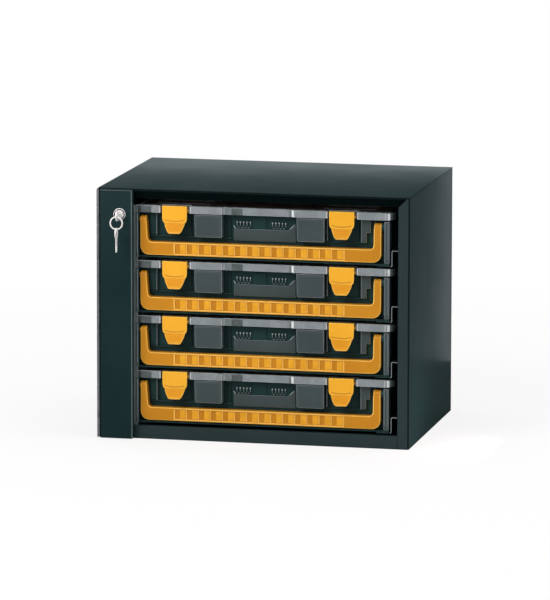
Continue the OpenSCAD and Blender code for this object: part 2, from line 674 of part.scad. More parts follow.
// Seen from the side, an arm ends in a half round about its pivot
module handle_side() {
    translate([0, bar_z]) square([handle_t, handle_pivot_z - bar_z]);
    translate([handle_pivot_y, handle_pivot_z]) circle(d = handle_t);
}
grip_pitch = grip_len / (grip_count + 0.5);
module handle(k) color("goldenrod") in_case(k) {
    translate([handle_x, 0, 0]) difference() {
        intersection() {
            along_y(handle_t) handle_outline();
            along_x(handle_w) handle_side();
        }
        for (i = [0 : grip_count - 1])
            translate([(handle_w - grip_len) / 2 + (i + 0.25) * grip_pitch, -cut, bar_z + bar_h / 8])
                cube([grip_pitch / 2, cut + grip_depth, bar_h * 3 / 4]);
    }
    translate([column_w - trunnion_reach, handle_pivot_y, handle_pivot_z])
        rod_x(handle_pin / 2, trunnion_reach + column_gap + cut);
    translate([handle_x + handle_w - cut, handle_pivot_y, handle_pivot_z])
        rod_x(handle_pin / 2, right_gap + trunnion_reach + cut);
}

// Latch drawn about its own middle: plate, cap, tapered pull, hub with pins, and the hook under the ledge
latch_top = case_h - 0.2;
latch_back = latch_t - latch_proud;
hook_gap = 0.3;                                 // from the ledge down to the hook
hook_w = 16;
hook_reach = 3;                                 // length of the hook under the ledge
plate_corner = 3;                               // chamfer at the lower corners of the plate
pull_neck = 4;                                  // height of the pull's upper, steep part
pull_draft = 1;
module latch_outline() polygon([
    [-latch_w / 2, latch_top], [-latch_w / 2, pull_z + plate_corner], [-latch_w / 2 + plate_corner, pull_z],
    [-pull_w / 2, pull_z], [-pull_w / 2 + pull_draft, pull_z - pull_neck], [-pull_tip_w / 2, latch_z],
    [pull_tip_w / 2, latch_z], [pull_w / 2 - pull_draft, pull_z - pull_neck], [pull_w / 2, pull_z],
    [latch_w / 2 - plate_corner, pull_z], [latch_w / 2, pull_z + plate_corner], [latch_w / 2, latch_top]]);
module latch() {
    translate([0, -latch_proud, 0]) along_y(latch_t) latch_outline();
    translate([-latch_w / 2, latch_pivot_y, latch_pivot_z]) rod_x(barrel_r, latch_w);
    translate([-latch_w / 2, latch_back - rear_link, latch_pivot_z - barrel_r])
        cube([latch_w, latch_pivot_y - latch_back, latch_top - latch_pivot_z + barrel_r]);
    translate([-latch_w / 2 - notch_gap - pin_reach, latch_pivot_y, latch_pivot_z])
        rod_x(latch_pin / 2, latch_w + 2 * (notch_gap + pin_reach));
    translate([-hook_w / 2, latch_back - rear_link, catch_z - hook_gap - catch_h])
        cube([hook_w, catch_y + hook_reach - latch_back, catch_h]);
}
module latch_left(k) color("orange") in_case(k) translate([latch_u(-1), 0, 0]) latch();
module latch_right(k) color("orange") in_case(k) translate([latch_u(1), 0, 0]) latch();

// ---------------------------------------------------------------- output

side_left();
side_right();
top_panel();
base_panel();
back_panel();
header_rail();
front_rail();
stile_left();
stile_right();
inner_wall();
rivets();
hinge_leaf_fixed();
hinge_pin();
door_bar();
hinge_leaf_door();
lock_barrel();
lock_nut();
lock_plug();
lock_cam();
cam_screw();
key();
key_ring();
spare_key();
for (k = CASES) {
    runner_left(k);
    runner_right(k);
    case_base(k);
    case_lid(k);
    lid_hinge_rod(k);
    cups(k);
    handle(k);
    latch_left(k);
    latch_right(k);
}
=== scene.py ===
# %% [markdown]
# # A cabinet of organiser cases, built up around its engineering model
#
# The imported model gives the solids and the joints. This lesson dresses each of them: bent sheet steel with
# rounded folds, moulded cases with clear lids, ribbed handles, latches, a cam lock and its keys. Lengths are
# written in millimetres and turned into metres when a piece is finished.

import math

import bmesh
import bpy
from mathutils import Matrix, Vector


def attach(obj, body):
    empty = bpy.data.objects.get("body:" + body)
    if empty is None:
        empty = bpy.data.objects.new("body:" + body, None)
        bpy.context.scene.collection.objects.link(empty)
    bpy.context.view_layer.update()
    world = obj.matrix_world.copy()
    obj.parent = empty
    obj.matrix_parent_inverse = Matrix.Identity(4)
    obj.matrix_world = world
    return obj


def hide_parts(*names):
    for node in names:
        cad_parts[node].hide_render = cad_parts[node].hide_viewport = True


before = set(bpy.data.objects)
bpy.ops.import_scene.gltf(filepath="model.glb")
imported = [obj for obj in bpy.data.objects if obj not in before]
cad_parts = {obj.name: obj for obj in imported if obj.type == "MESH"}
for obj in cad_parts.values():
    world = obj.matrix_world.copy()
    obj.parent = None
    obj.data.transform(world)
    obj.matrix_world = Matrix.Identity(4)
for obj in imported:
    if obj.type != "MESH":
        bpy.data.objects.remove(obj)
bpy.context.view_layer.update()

# %% [markdown]
# The camera comes first. A long lens far away keeps the cabinet's edges almost parallel, as a catalogue
# picture does. Its direction is an azimuth and an elevation, plus a very small roll.


# %% Camera
def link(thing):
    bpy.context.scene.collection.objects.link(thing)
    return thing


AZIMUTH, ELEVATION, ROLL = (math.radians(a) for a in (12.606, 9.361, 0.099))
LENS, FILM_WIDTH, FAR_LIMIT = 338.33, 36.0, 200.0
CAMERA_PLACE = (2.0655, -9.2560, 1.7768)
back = Vector((math.sin(AZIMUTH) * math.cos(ELEVATION), -math.cos(AZIMUTH) * math.cos(ELEVATION),
               math.sin(ELEVATION)))
level = Vector((0, 0, 1)).cross(back).normalized()
upright = back.cross(level)
right = level * math.cos(ROLL) + upright * math.sin(ROLL)
up = upright * math.cos(ROLL) - level * math.sin(ROLL)
camera = link(bpy.data.objects.new("camera", bpy.data.cameras.new("camera")))
camera.data.lens, camera.data.sensor_width, camera.data.clip_end = LENS, FILM_WIDTH, FAR_LIMIT
camera.matrix_world = Matrix.Translation(CAMERA_PLACE) @ Matrix((right, up, back)).transposed().to_4x4()
bpy.context.scene.camera = camera
print("camera at", [round(v, 2) for v in camera.location])

# %% [markdown]
# The light is a plain soft studio. Large lamps are turned towards the cabinet from above, the left and the
# right, and the world fills in the shadows. Satin paint mirrors its surroundings when it is seen at a flat
# angle, so two cards close behind the cabinet are only mirrored: they let the roof and the side grow lighter
# towards the rear. Two small reddish cards do the opposite. They light the paint beside the door and low on
# the side without being mirrored, and keep the dark green neutral there.


# %% Lamps and cards
def lamp(name, place, width, height, watts, target=(0.0, 0.0, 0.2), colour=(1.0, 1.0, 1.0)):
    light = bpy.data.lights.new(name, "AREA")
    light.shape, light.size, light.size_y = "RECTANGLE", width, height
    light.energy, light.color = watts, colour
    lamp_object = link(bpy.data.objects.new(name, light))
    lamp_object.location = place
    lamp_object.rotation_euler = (Vector(target) - Vector(place)).to_track_quat("-Z", "Y").to_euler()
    return lamp_object


COOL, REDDISH, REAR_TILT = (0.92, 1.0, 1.03), (1.6, 1.0, 1.0), 0.028
lamp("key_lamp", (-1.6, -2.6, 2.4), 1.6, 1.2, 62)
lamp("top_lamp", (0.2, 0.3, 2.9), 2.2, 1.6, 30)
lamp("right_lamp", (3.0, -0.6, 1.3), 1.4, 1.6, 30)
side_card = lamp("side_card", (0.41, -0.150, 0.050), 0.14, 0.06, 0.20, (0.27, -0.150, 0.050), REDDISH)
door_card = lamp("door_card", (-0.33, -0.30, 0.45), 0.12, 0.1, 0.10, (-0.235, -0.2, 0.405), (1.5, 1.0, 1.0))
rear_card = lamp("rear_card", (-0.182, 0.224, 0.3038), 0.90, 0.3235, 0.76, (-0.182, -1.0, 0.3038), COOL)
rear_card.rotation_euler.rotate_axis("Z", REAR_TILT)
low_card = lamp("low_card", (0.290, 0.224, 0.26), 0.036, 0.36, 0.0200, (0.290, -1.0, 0.26), COOL)
for card in (side_card, door_card):
    card.visible_camera = card.visible_glossy = False
for card in (rear_card, low_card):
    card.visible_camera = card.visible_diffuse = False

# %% [markdown]
# The camera sees a white world, but the light that falls on the object stays at a level where a colour
# renders about as it is written. For glossy rays the room is darker behind the cabinet than in front of it.


# %% World
def put(tree, kind, inputs=(), family="ShaderNode", **settings):
    """Adds a node. A socket among the inputs is linked, and any other value is set."""
    added = tree.nodes.new(family + kind)
    for name, value in settings.items():
        setattr(added, name, value)
    for name, value in dict(inputs).items():
        if isinstance(value, bpy.types.NodeSocket):
            tree.links.new(value, added.inputs[name])
        else:
            added.inputs[name].default_value = value
    return added


def empty_tree(owner):
    owner.use_nodes = True
    owner.node_tree.nodes.clear()
    return owner.node_tree


WHITE, FILL_LEVEL = (1.0, 1.0, 1.0, 1.0), 0.45
world = bpy.context.scene.world = bpy.data.worlds.new("studio")
tree = empty_tree(world)
rays = put(tree, "LightPath")
direction = put(tree, "TexCoord")
parts = put(tree, "SeparateXYZ", {"Vector": direction.outputs["Generated"]})
front_wall = put(tree, "MapRange", {"Value": parts.outputs["Y"], "From Min": 0.35, "From Max": -0.35,
                                    "To Min": 0.02, "To Max": 0.75}, interpolation_type="SMOOTHSTEP")
level_of = put(tree, "Mix", {0: rays.outputs["Is Glossy Ray"], 2: FILL_LEVEL, 3: front_wall.outputs[0]},
               data_type="FLOAT")
soft = put(tree, "Background", {"Color": WHITE, "Strength": level_of.outputs[0]})
white = put(tree, "Background", {"Color": WHITE, "Strength": 1.0})
shown = put(tree, "Math", {0: rays.outputs["Is Camera Ray"], 1: rays.outputs["Is Transmission Ray"]},
            operation="MAXIMUM")
seen = put(tree, "MixShader", {0: shown.outputs[0], 1: soft.outputs[0], 2: white.outputs[0]})
put(tree, "OutputWorld", {"Surface": seen.outputs[0]})
bpy.context.scene.view_settings.view_transform = "Standard"
print("world:", world.name)

# %% [markdown]
# The floor is white to the camera and only keeps a soft shadow: part of it shines by itself, more so far
# away, and the rest is an ordinary pale surface that the cabinet shades. Glossy rays see it darker.

# %% Floor
LEFT, RIGHT, NEAR, FAR = -40, 40, -12, 70
floor_mesh = bpy.data.meshes.new("floor")
floor_corners = [(LEFT, NEAR, 0), (RIGHT, NEAR, 0), (RIGHT, FAR, 0), (LEFT, FAR, 0)]
floor_mesh.from_pydata(floor_corners, [], [(0, 1, 2, 3)])
floor = link(bpy.data.objects.new("floor", floor_mesh))
paper = bpy.data.materials.new("paper_floor")
tree = empty_tree(paper)
place = put(tree, "TexCoord")
fibre = put(tree, "TexNoise", {"Vector": place.outputs["Object"], "Scale": 3.0, "Detail": 3.0})
tone = put(tree, "MapRange", {"Value": fibre.outputs[0], "To Min": 0.83, "To Max": 0.87})
rays = put(tree, "LightPath")
dimmed = put(tree, "Math", {0: tone.outputs[0], 1: 0.12}, operation="MULTIPLY")
paper_tone = put(tree, "Mix", {0: rays.outputs["Is Glossy Ray"], 2: tone.outputs[0], 3: dimmed.outputs[0]},
                 data_type="FLOAT")
matt = put(tree, "BsdfDiffuse", {"Color": paper_tone.outputs[0]})
glow = put(tree, "Emission", {"Color": WHITE, "Strength": 1.0})
away = put(tree, "VectorMath", {0: place.outputs["Object"]}, operation="LENGTH")
far = put(tree, "MapRange", {"Value": away.outputs["Value"], "From Min": 0.5, "From Max": 1.6,
                             "To Min": 0.80, "To Max": 1.0})
share = put(tree, "Math", {0: rays.outputs["Is Camera Ray"], 1: far.outputs[0]}, operation="MULTIPLY")
both = put(tree, "MixShader", {0: share.outputs[0], 1: matt.outputs[0], 2: glow.outputs[0]})
put(tree, "OutputMaterial", {"Surface": both.outputs[0]})
floor_mesh.materials.append(paper)

# %% [markdown]
# ## Finishes
#
# Several finishes share the same small effects, so each effect is a node group that is built once. A group
# only gives out masks and heights; the shader that uses them stays in the material. All patterns read
# Object coordinates, in metres.


# %% Shared effects
def tint(red, green, blue):
    """A colour written as on a screen, 0 to 255, as Blender's linear values."""
    shares = [c / 255 for c in (red, green, blue)]
    return (*((s / 12.92) if s <= 0.04 else ((s + 0.055) / 1.055) ** 2.4 for s in shares), 1.0)


def effect(name, inputs, outputs):
    """An empty shader group with named number inputs and outputs, and its input and output nodes."""
    group = bpy.data.node_groups.new(name, "ShaderNodeTree")
    for label, value in inputs.items():
        socket = group.interface.new_socket(label, in_out="INPUT", socket_type="NodeSocketFloat")
        socket.default_value = value
    for label in outputs:
        group.interface.new_socket(label, in_out="OUTPUT", socket_type="NodeSocketFloat")
    return group, group.nodes.new("NodeGroupInput"), group.nodes.new("NodeGroupOutput")


# Grain: a fine height for the bump and a slow mottle for colour and gloss
grain, into, out = effect("fine_grain", {"Cells per metre": 900.0, "Softness": 0.5, "Mottle size": 9.0},
                          ("Height", "Mottle"))
place = put(grain, "TexCoord")
fine = put(grain, "TexNoise", {"Vector": place.outputs["Object"], "Scale": into.outputs["Cells per metre"],
                               "Detail": 2.0, "Roughness": into.outputs["Softness"]})
slow = put(grain, "TexNoise", {"Vector": place.outputs["Object"], "Scale": into.outputs["Mottle size"],
                               "Detail": 4.0, "Roughness": 0.6})
even = put(grain, "MapRange", {"Value": slow.outputs[0], "From Min": 0.3, "From Max": 0.7})
grain.links.new(fine.outputs[0], out.inputs["Height"])
grain.links.new(even.outputs[0], out.inputs["Mottle"])

# Painted edge light: rounded edges carry an attribute that the finishes paint as a highlight or a
# shade line, and a noise breaks it up
edges, into, out = effect("painted_edge_light", {"Amount": 0.5, "Breaks per metre": 60.0, "Evenness": 0.5}, ("Mask",))
place = put(edges, "TexCoord")
marked = put(edges, "Attribute", attribute_name="edge")
broken = put(edges, "TexNoise", {"Vector": place.outputs["Object"], "Detail": 3.0,
                                 "Scale": into.outputs["Breaks per metre"]})
spread = put(edges, "Mix", {2: broken.outputs[0], 3: 1.0, 0: into.outputs["Evenness"]}, data_type="FLOAT")
broken_edge_paint = put(edges, "Math", {0: marked.outputs["Fac"], 1: spread.outputs[0]}, operation="MULTIPLY")
scaled = put(edges, "Math", {0: broken_edge_paint.outputs[0], 1: into.outputs["Amount"]}, operation="MULTIPLY",
             use_clamp=True)
edges.links.new(scaled.outputs[0], out.inputs["Mask"])

# Brush marks: a noise that is stretched along one direction
brush, into, out = effect("brush_marks", {"Across": 900.0, "Along": 30.0}, ("Lines",))
place = put(brush, "TexCoord")
across, along = into.outputs["Across"], into.outputs["Along"]
stretch = put(brush, "CombineXYZ", {0: across, 1: across, 2: along})
drawn = put(brush, "VectorMath", {0: place.outputs["Object"], 1: stretch.outputs[0]}, operation="MULTIPLY")
lines = put(brush, "TexNoise", {"Vector": drawn.outputs[0], "Scale": 1.0, "Detail": 3.0})
brush.links.new(lines.outputs[0], out.inputs["Lines"])
print("effects:", [g.name for g in bpy.data.node_groups])

# %% [markdown]
# One recipe makes all the finishes. It mixes two close colours by the slow mottle, paints the marked edges
# towards a third colour, as a painted highlight where it is lighter and a painted shade line where it is
# darker, varies the gloss a little and adds the grain as a bump. Only its values differ from finish to
# finish: the two colours, the painted edge colour and its amount, the roughness from and to, the grain and
# its height.

# %% The recipe for a finish
FINISHES = {}
BUMP_DEPTH = 0.0004


def finish(name, low, high, rim, edge, rough, cells, bump, mottle=9.0, metallic=0.0, brushed=0.0,
           evenness=0.5, shine=0.5, alpha=1.0, glow=(1.0, 1.0, 1.0), glow_level=0.0):
    material = FINISHES[name] = bpy.data.materials.new(name)
    tree = empty_tree(material)
    surface = put(tree, "Group", {"Cells per metre": cells, "Mottle size": mottle}, node_tree=grain)
    rims = put(tree, "Group", {"Amount": edge, "Evenness": evenness}, node_tree=edges)
    colour = put(tree, "Mix", {0: surface.outputs["Mottle"], 6: tint(*low), 7: tint(*high)}, data_type="RGBA")
    lit = put(tree, "Mix", {0: rims.outputs["Mask"], 6: colour.outputs[2], 7: tint(*rim)}, data_type="RGBA")
    gloss = put(tree, "MapRange", {"Value": surface.outputs["Mottle"], "To Min": rough[0],
                                   "To Max": rough[1]})
    height = surface.outputs["Height"]
    if brushed:
        drawn_out = put(tree, "Group", node_tree=brush)
        mixed = put(tree, "Mix", {0: brushed, 2: height, 3: drawn_out.outputs["Lines"]}, data_type="FLOAT")
        height = mixed.outputs[0]
    relief = put(tree, "Bump", {"Strength": bump, "Distance": BUMP_DEPTH, "Height": height})
    look = put(tree, "BsdfPrincipled", {
        "Base Color": lit.outputs[2], "Roughness": gloss.outputs[0], "Normal": relief.outputs[0],
        "Metallic": metallic, "Specular IOR Level": shine, "Alpha": alpha,
        "Emission Color": (*glow, 1.0), "Emission Strength": glow_level})
    put(tree, "OutputMaterial", {"Surface": look.outputs[0]})


# %% Finishes of the steel and the lock
# Cabinet paint. Its darker edge colour is a painted shade line on the bends and cut edges.
finish("powder_coat", (19, 42, 43), (22, 46, 47), (7, 18, 20), 0.95, (0.32, 0.38), 700.0, 0.08, evenness=0.9,
       shine=0.12)
# The door's paint; its light edge colour is a painted highlight on the channel's rounded edges.
finish("door_coat", (20, 41, 43), (23, 45, 47), (104, 118, 120), 0.85, (0.36, 0.44), 700.0, 0.08,
       evenness=0.85, shine=0.12)
# A lighter copy of the cabinet paint for the front faces of the stile and the rail, painted light; its darker
# edge colour is a painted shade line.
finish("front_coat_painted_lighter", (40, 54, 56), (44, 58, 60), (24, 38, 40), 0.6, (0.40, 0.48), 700.0, 0.08, shine=0.12)
# A near black copy of the cabinet paint, painted shade for the header, the left stile, the partition, the
# left runners and the door's left edge; its lighter edge colour is a painted highlight.
finish("shaded_coat", (3, 14, 15), (6, 17, 18), (40, 50, 52), 0.6, (0.50, 0.60), 700.0, 0.08, shine=0.02)
# Runner steel; its bright edge colour is a painted highlight on the cut ends and bends.
finish("runner_steel", (16, 27, 29), (22, 33, 35), (140, 147, 149), 0.95, (0.38, 0.48), 800.0, 0.08,
       evenness=0.85, shine=0.2)
# Plated parts; their lighter edge colours are painted highlights.
finish("zinc_plate", (128, 132, 134), (158, 162, 164), (205, 208, 210), 0.5, (0.32, 0.44), 500.0, 0.08,
       mottle=60.0, metallic=0.75, brushed=0.5)
finish("nickel_plate", (226, 228, 228), (246, 247, 246), (255, 255, 255), 0.9, (0.18, 0.30), 1500.0, 0.04,
       mottle=120.0, metallic=0.30, brushed=0.4)
# A dark copy of the nickel for the lock flange's groove: painted shade.
finish("groove_painted_shade", (64, 68, 68), (84, 88, 88), (150, 152, 152), 0.6, (0.30, 0.42), 1500.0, 0.04,
       mottle=120.0, metallic=0.7)

# %% Finishes of the case
# Case parts; the lighter edge colour of each of these finishes is a painted highlight on the rounded edges.
finish("charcoal_shell", (18, 49, 49), (24, 56, 55), (62, 76, 77), 0.5, (0.45, 0.58), 1600.0, 0.2, shine=0.2)
finish("grained_block", (57, 68, 70), (64, 76, 78), (134, 144, 146), 0.75, (0.48, 0.60), 1400.0, 0.3,
       shine=0.3)
# A lighter copy of the case plastic, painted light: the strips on the columns, the thin ribs and the shanks
# of the teeth read as light lines in it.
finish("plastic_painted_light", (76, 86, 90), (84, 95, 99), (150, 160, 164), 0.85, (0.34, 0.44), 1600.0, 0.1,
       evenness=0.85, shine=0.3)
# A still lighter grey, painted light for the posts at the left of each case and beside the door, which lie in
# the shade of the door bar.
finish("post_painted_light", (98, 110, 112), (106, 118, 121), (120, 131, 134), 0.5, (0.40, 0.50), 1600.0, 0.1,
       shine=0.2)
finish("tooth_tips", (112, 124, 126), (124, 136, 138), (205, 212, 214), 0.9, (0.30, 0.40), 1600.0, 0.08,
       evenness=0.9, shine=0.4)
finish("handle_amber", (191, 124, 13), (204, 136, 20), (252, 198, 92), 0.8, (0.38, 0.48), 1200.0, 0.12,
       evenness=0.75, shine=0.25)
# A lighter copy of the handle colour for the raised pads, painted light; the sunk fields keep the darker
# handle colour.
finish("grip_pads_painted_light", (220, 151, 26), (240, 172, 38), (252, 188, 76), 0.6, (0.38, 0.48), 1200.0, 0.12,
       mottle=55.0, evenness=0.8, shine=0.25)
# The brightest copy of the handle colour: a painted highlight on the splits between the pads and on the lower
# left corner.
finish("grip_rib_highlight", (244, 180, 56), (252, 193, 72), (255, 210, 120), 0.7, (0.34, 0.44), 1200.0, 0.1,
       evenness=0.8, shine=0.3)
# A light tone that glows a little, painted light for the right side of the handle's right arm, which lies in
# shade.
finish("handle_side", (255, 206, 90), (255, 214, 104), (255, 224, 140), 0.6, (0.38, 0.48), 1200.0, 0.1,
       shine=0.25, glow=(1.0, 0.52, 0.11), glow_level=0.62)
finish("latch_yellow", (240, 170, 31), (246, 178, 42), (255, 208, 92), 0.75, (0.34, 0.42), 1400.0, 0.08,
       evenness=0.75, shine=0.3)
# A darker copy of the latch colour for the pull and the parts behind it: painted shade for the pull's
# downward slope.
finish("latch_pull", (217, 145, 10), (226, 153, 17), (255, 206, 96), 0.85, (0.34, 0.42), 1400.0, 0.08,
       evenness=0.8, shine=0.3)

# %% Finishes of the lid and the cups
# The lid's rim tone. In the lid's finishes the lighter edge colour is a painted highlight, on the rim also at
# the short corner faces of the notches and steps.
finish("lid_rim", (129, 136, 139), (143, 151, 155), (232, 236, 238), 0.8, (0.22, 0.32), 300.0, 0.05,
       mottle=40.0, evenness=0.8, alpha=0.95)
# A darker tone of the rim: painted half shade.
finish("lid_half_shade", (106, 114, 116), (120, 128, 130), (200, 206, 208), 0.7, (0.22, 0.32), 300.0, 0.05,
       mottle=60.0, evenness=0.8, alpha=0.95)
# The darkest tone of the rim: painted deep shade.
finish("lid_deep_shade", (42, 50, 52), (58, 66, 68), (90, 98, 100), 0.4, (0.22, 0.32), 300.0, 0.05, mottle=60.0,
       alpha=0.97)
finish("lid_shade", (74, 82, 83), (94, 103, 104), (150, 158, 160), 0.6, (0.22, 0.32), 300.0, 0.05,
       mottle=40.0, evenness=0.7, alpha=0.95)
# A bright tone that glows a little: a painted highlight on the rim's right corner and right step, and on the
# corner lug's front.
finish("lid_painted_glow", (205, 212, 214), (222, 228, 230), (250, 252, 252), 0.5, (0.22, 0.32), 300.0, 0.05,
       mottle=40.0, alpha=0.97, glow=(0.8, 0.85, 0.87), glow_level=0.13)
finish("lid_window", (190, 197, 201), (206, 212, 215), (240, 243, 245), 0.8, (0.10, 0.18), 200.0, 0.03,
       mottle=20.0, evenness=0.8, alpha=0.42)
# The cups' lighter edge colour is a painted highlight on their brims.
finish("cup_plastic", (222, 160, 58), (232, 170, 66), (250, 200, 110), 0.5, (0.35, 0.45), 1200.0, 0.1)
print(len(FINISHES), "finishes")

# %% [markdown]
# ## Shapes
#
# Almost every piece starts as one of four shapes: a block, a panel cut from a flat outline with holes, a
# sheet bent along a path, or a turned profile. Real edges are never razor sharp, so each shape gets its
# edges rounded when it is made, and the new faces are marked, so that the finishes paint them as a
# highlight or a shade line.


# %% Blocks and prisms with rounded edges
def marks(shape):
    """The layer that marks rounded edges. It is made before the faces, because adding it later drops them."""
    return shape.faces.layers.float.get("edge") or shape.faces.layers.float.new("edge")


def rounded(shape, width, steps=2, sharp_angle=30.0):
    """Rounds every edge that is sharper than the angle and marks the faces that this adds."""
    layer = marks(shape)
    limit = math.radians(sharp_angle)
    sharp = [e for e in shape.edges if len(e.link_faces) == 2 and e.calc_face_angle(0.0) > limit]
    added = bmesh.ops.bevel(shape, geom=sharp, offset=width, offset_type="OFFSET", segments=steps,
                            profile=0.5, affect="EDGES", clamp_overlap=True)
    for face in added["faces"]:
        face[layer] = 1.0
    return shape


AXES = {"x": lambda a, b, t: (t, a, b), "y": lambda a, b, t: (a, t, b), "z": lambda a, b, t: (a, b, t)}


def outwards(shape):
    bmesh.ops.recalc_face_normals(shape, faces=shape.faces)
    return shape


def lofted(rings, mark_of=lambda row, side: 0.0):
    """A skin over rings of points, closed at both ends. A face's mark comes from its row and its side."""
    shape = bmesh.new()
    layer = marks(shape)
    rows = [[shape.verts.new(point) for point in ring] for ring in rings]
    shape.faces.new(rows[0])
    shape.faces.new(rows[-1])
    for row, (one, two) in enumerate(zip(rows, rows[1:])):
        for i in range(len(one)):
            shape.faces.new((one[i - 1], one[i], two[i], two[i - 1]))[layer] = mark_of(row, i)
    return outwards(shape)


def prism(outline, axis, start, end, width=0.5, steps=2):
    """A flat outline drawn across an axis and drawn out along it."""
    shape = lofted([[AXES[axis](a, b, t) for a, b in outline] for t in (start, end)])
    return rounded(shape, width, steps) if width else shape


def rectangle(x0, y0, x1, y1):
    return [(x0, y0), (x1, y0), (x1, y1), (x0, y1)]


def block(low, high, width=0.5, steps=2):
    return prism(rectangle(*low[:2], *high[:2]), "z", low[2], high[2], width, steps)


def arc(cx, cy, radius, start, end, steps=8):
    """Points on an arc, with its angles in degrees."""
    turns = [math.radians(start + (end - start) * i / steps) for i in range(steps + 1)]
    return [(cx + radius * math.cos(t), cy + radius * math.sin(t)) for t in turns]


def round_rectangle(x0, y0, x1, y1, radius, steps=6):
    left, right, front, rear = x0 + radius, x1 - radius, y0 + radius, y1 - radius
    corners = ((right, front, -90), (right, rear, 0), (left, rear, 90), (left, front, 180))
    return [point for x, y, turn in corners for point in arc(x, y, radius, turn, turn + 90, steps)]


# %% [markdown]
# Blender's flat curves are a quick way to cut a panel: the first outline is filled, further outlines become
# holes, and the curve's own bevel rounds both rims while the outline keeps its size.

# %% Panels
SLIGHT_TURN, SAME_PLACE = 0.35, 0.0005


def corners_of(outline):
    """Each corner of a closed outline, between the one before it and the one after it."""
    points = [Vector(point) for point in outline]
    return zip(points[-1:] + points, points, points[1:] + points[:1])


def softened(outline, radius, steps=3):
    """An outline with its corners rounded by short curves."""
    points = []
    for before, corner, after in corners_of(outline):
        u, v = before - corner, after - corner
        turn = math.pi - u.angle(v)
        if turn < SLIGHT_TURN:
            points.append(tuple(corner))
            continue
        reach = min(radius * math.tan(turn / 2), u.length * 0.45, v.length * 0.45)
        first, last = corner + u.normalized() * reach, corner + v.normalized() * reach
        for share in (n / steps for n in range(steps + 1)):
            points.append(tuple(first.lerp(corner, share).lerp(corner.lerp(last, share), share)))
    return points


def panel(outlines, axis, start, end, rim=0.4, steps=1, narrow=0.0, rim_mark=1.0):
    """Outlines filled between two planes. Side faces shorter than narrow are marked as edges too."""
    curve = bpy.data.curves.new("outline", "CURVE")
    curve.dimensions, curve.fill_mode, curve.extrude = "2D", "BOTH", (end - start) / 2 - rim
    curve.bevel_depth, curve.bevel_resolution, curve.offset = rim, steps, -rim
    for outline in outlines:
        spline = curve.splines.new("POLY")
        spline.points.add(len(outline) - 1)
        for point, (a, b) in zip(spline.points, outline):
            point.co = (a, b, 0.0, 1.0)
        spline.use_cyclic_u = True
    drawn = link(bpy.data.objects.new("outline", curve))
    flat = bpy.data.meshes.new_from_object(drawn.evaluated_get(bpy.context.evaluated_depsgraph_get()))
    shape = bmesh.new()
    marks(shape)
    shape.from_mesh(flat)
    bpy.data.objects.remove(drawn)
    bpy.data.curves.remove(curve)
    bpy.data.meshes.remove(flat)
    bmesh.ops.remove_doubles(shape, verts=shape.verts, dist=SAME_PLACE)
    layer = marks(shape)
    shape.normal_update()
    for face in shape.faces:
        tilt = abs(face.normal.z)
        if tilt <= 0.1:
            length = max((a.co.xy - b.co.xy).length for a in face.verts for b in face.verts)
            face[layer] = 1.0 if length < narrow else 0.0
        else:
            face[layer] = rim_mark if tilt < 0.97 else 0.0
        face.material_index = 0
    for vert in shape.verts:
        vert.co = AXES[axis](vert.co.x, vert.co.y, (start + end) / 2 + vert.co.z)
    return outwards(shape)


# %% [markdown]
# A sheet-metal part is a strip bent along a path. Each corner of the path becomes an arc, the path is
# offset to both sides by half the sheet's thickness, and the closed outline is drawn out. The faces on the
# bends and the cut edges are marked: paint catches the light there, and the finishes paint it in as a
# highlight or a shade line.


# %% Bent sheets
def bent(path, axis, start, end, thickness=1.2, radius=1.6, steps=5):
    middle, on_bend = [Vector(path[0])], [False]
    for before, corner, after in zip(path, path[1:], path[2:]):
        before, corner, after = Vector(before), Vector(corner), Vector(after)
        u, v = (before - corner).normalized(), (after - corner).normalized()
        half = math.acos(max(-1.0, min(1.0, u.dot(v)))) / 2
        cut = radius / math.tan(half)
        centre = corner + (u + v).normalized() * (radius / math.sin(half))
        first, last = corner + u * cut - centre, corner + v * cut - centre
        total = first.angle(last) * (1 if first.x * last.y - first.y * last.x > 0 else -1)
        for i in range(steps + 1):
            a = total * i / steps
            middle.append(centre + Vector((first.x * math.cos(a) - first.y * math.sin(a),
                                           first.x * math.sin(a) + first.y * math.cos(a))))
            on_bend.append(i < steps)
    middle.append(Vector(path[-1]))
    on_bend.append(False)
    left, right = [], []
    for i, point in enumerate(middle):
        ahead = (middle[i + 1] - point if i + 1 < len(middle) else point - middle[i - 1]).normalized()
        behind = (point - middle[i - 1]).normalized() if i else ahead
        along = (ahead + behind).normalized()
        normal = Vector((-along.y, along.x))
        spread = thickness / 2 / max(0.3, normal.dot(Vector((-ahead.y, ahead.x))))
        left.append(point + normal * spread)
        right.append(point - normal * spread)
    shape = bmesh.new()
    count, layer = len(middle), marks(shape)
    rings = [[shape.verts.new(AXES[axis](a, b, t)) for a, b in left + right[::-1]] for t in (start, end)]

    def strip(first, second, mark):
        """The face between two neighbouring points of the outline, from one end to the other."""
        shape.faces.new((rings[0][first], rings[0][second], rings[1][second], rings[1][first]))[layer] = mark

    for i in range(count - 1):
        a, b, c, d = i, i + 1, 2 * count - 2 - i, 2 * count - 1 - i
        for ring in rings:
            shape.faces.new((ring[a], ring[b], ring[c], ring[d]))[layer] = 1.0
        strip(a, b, float(on_bend[i]))
        strip(c, d, float(on_bend[i]))
    strip(0, 2 * count - 1, 1.0)
    strip(count - 1, count, 1.0)
    return outwards(shape)


# %% [markdown]
# Round parts are turned: a profile of radius and length goes round an axis. A profile that starts and ends
# on the axis makes a solid, and a closed one makes a ring. Short slanting faces count as rounded edges.

# %% Turned parts
ON_AXIS, RIDGE, CHAMFER_LENGTH = 1e-6, 35.0, 1.2


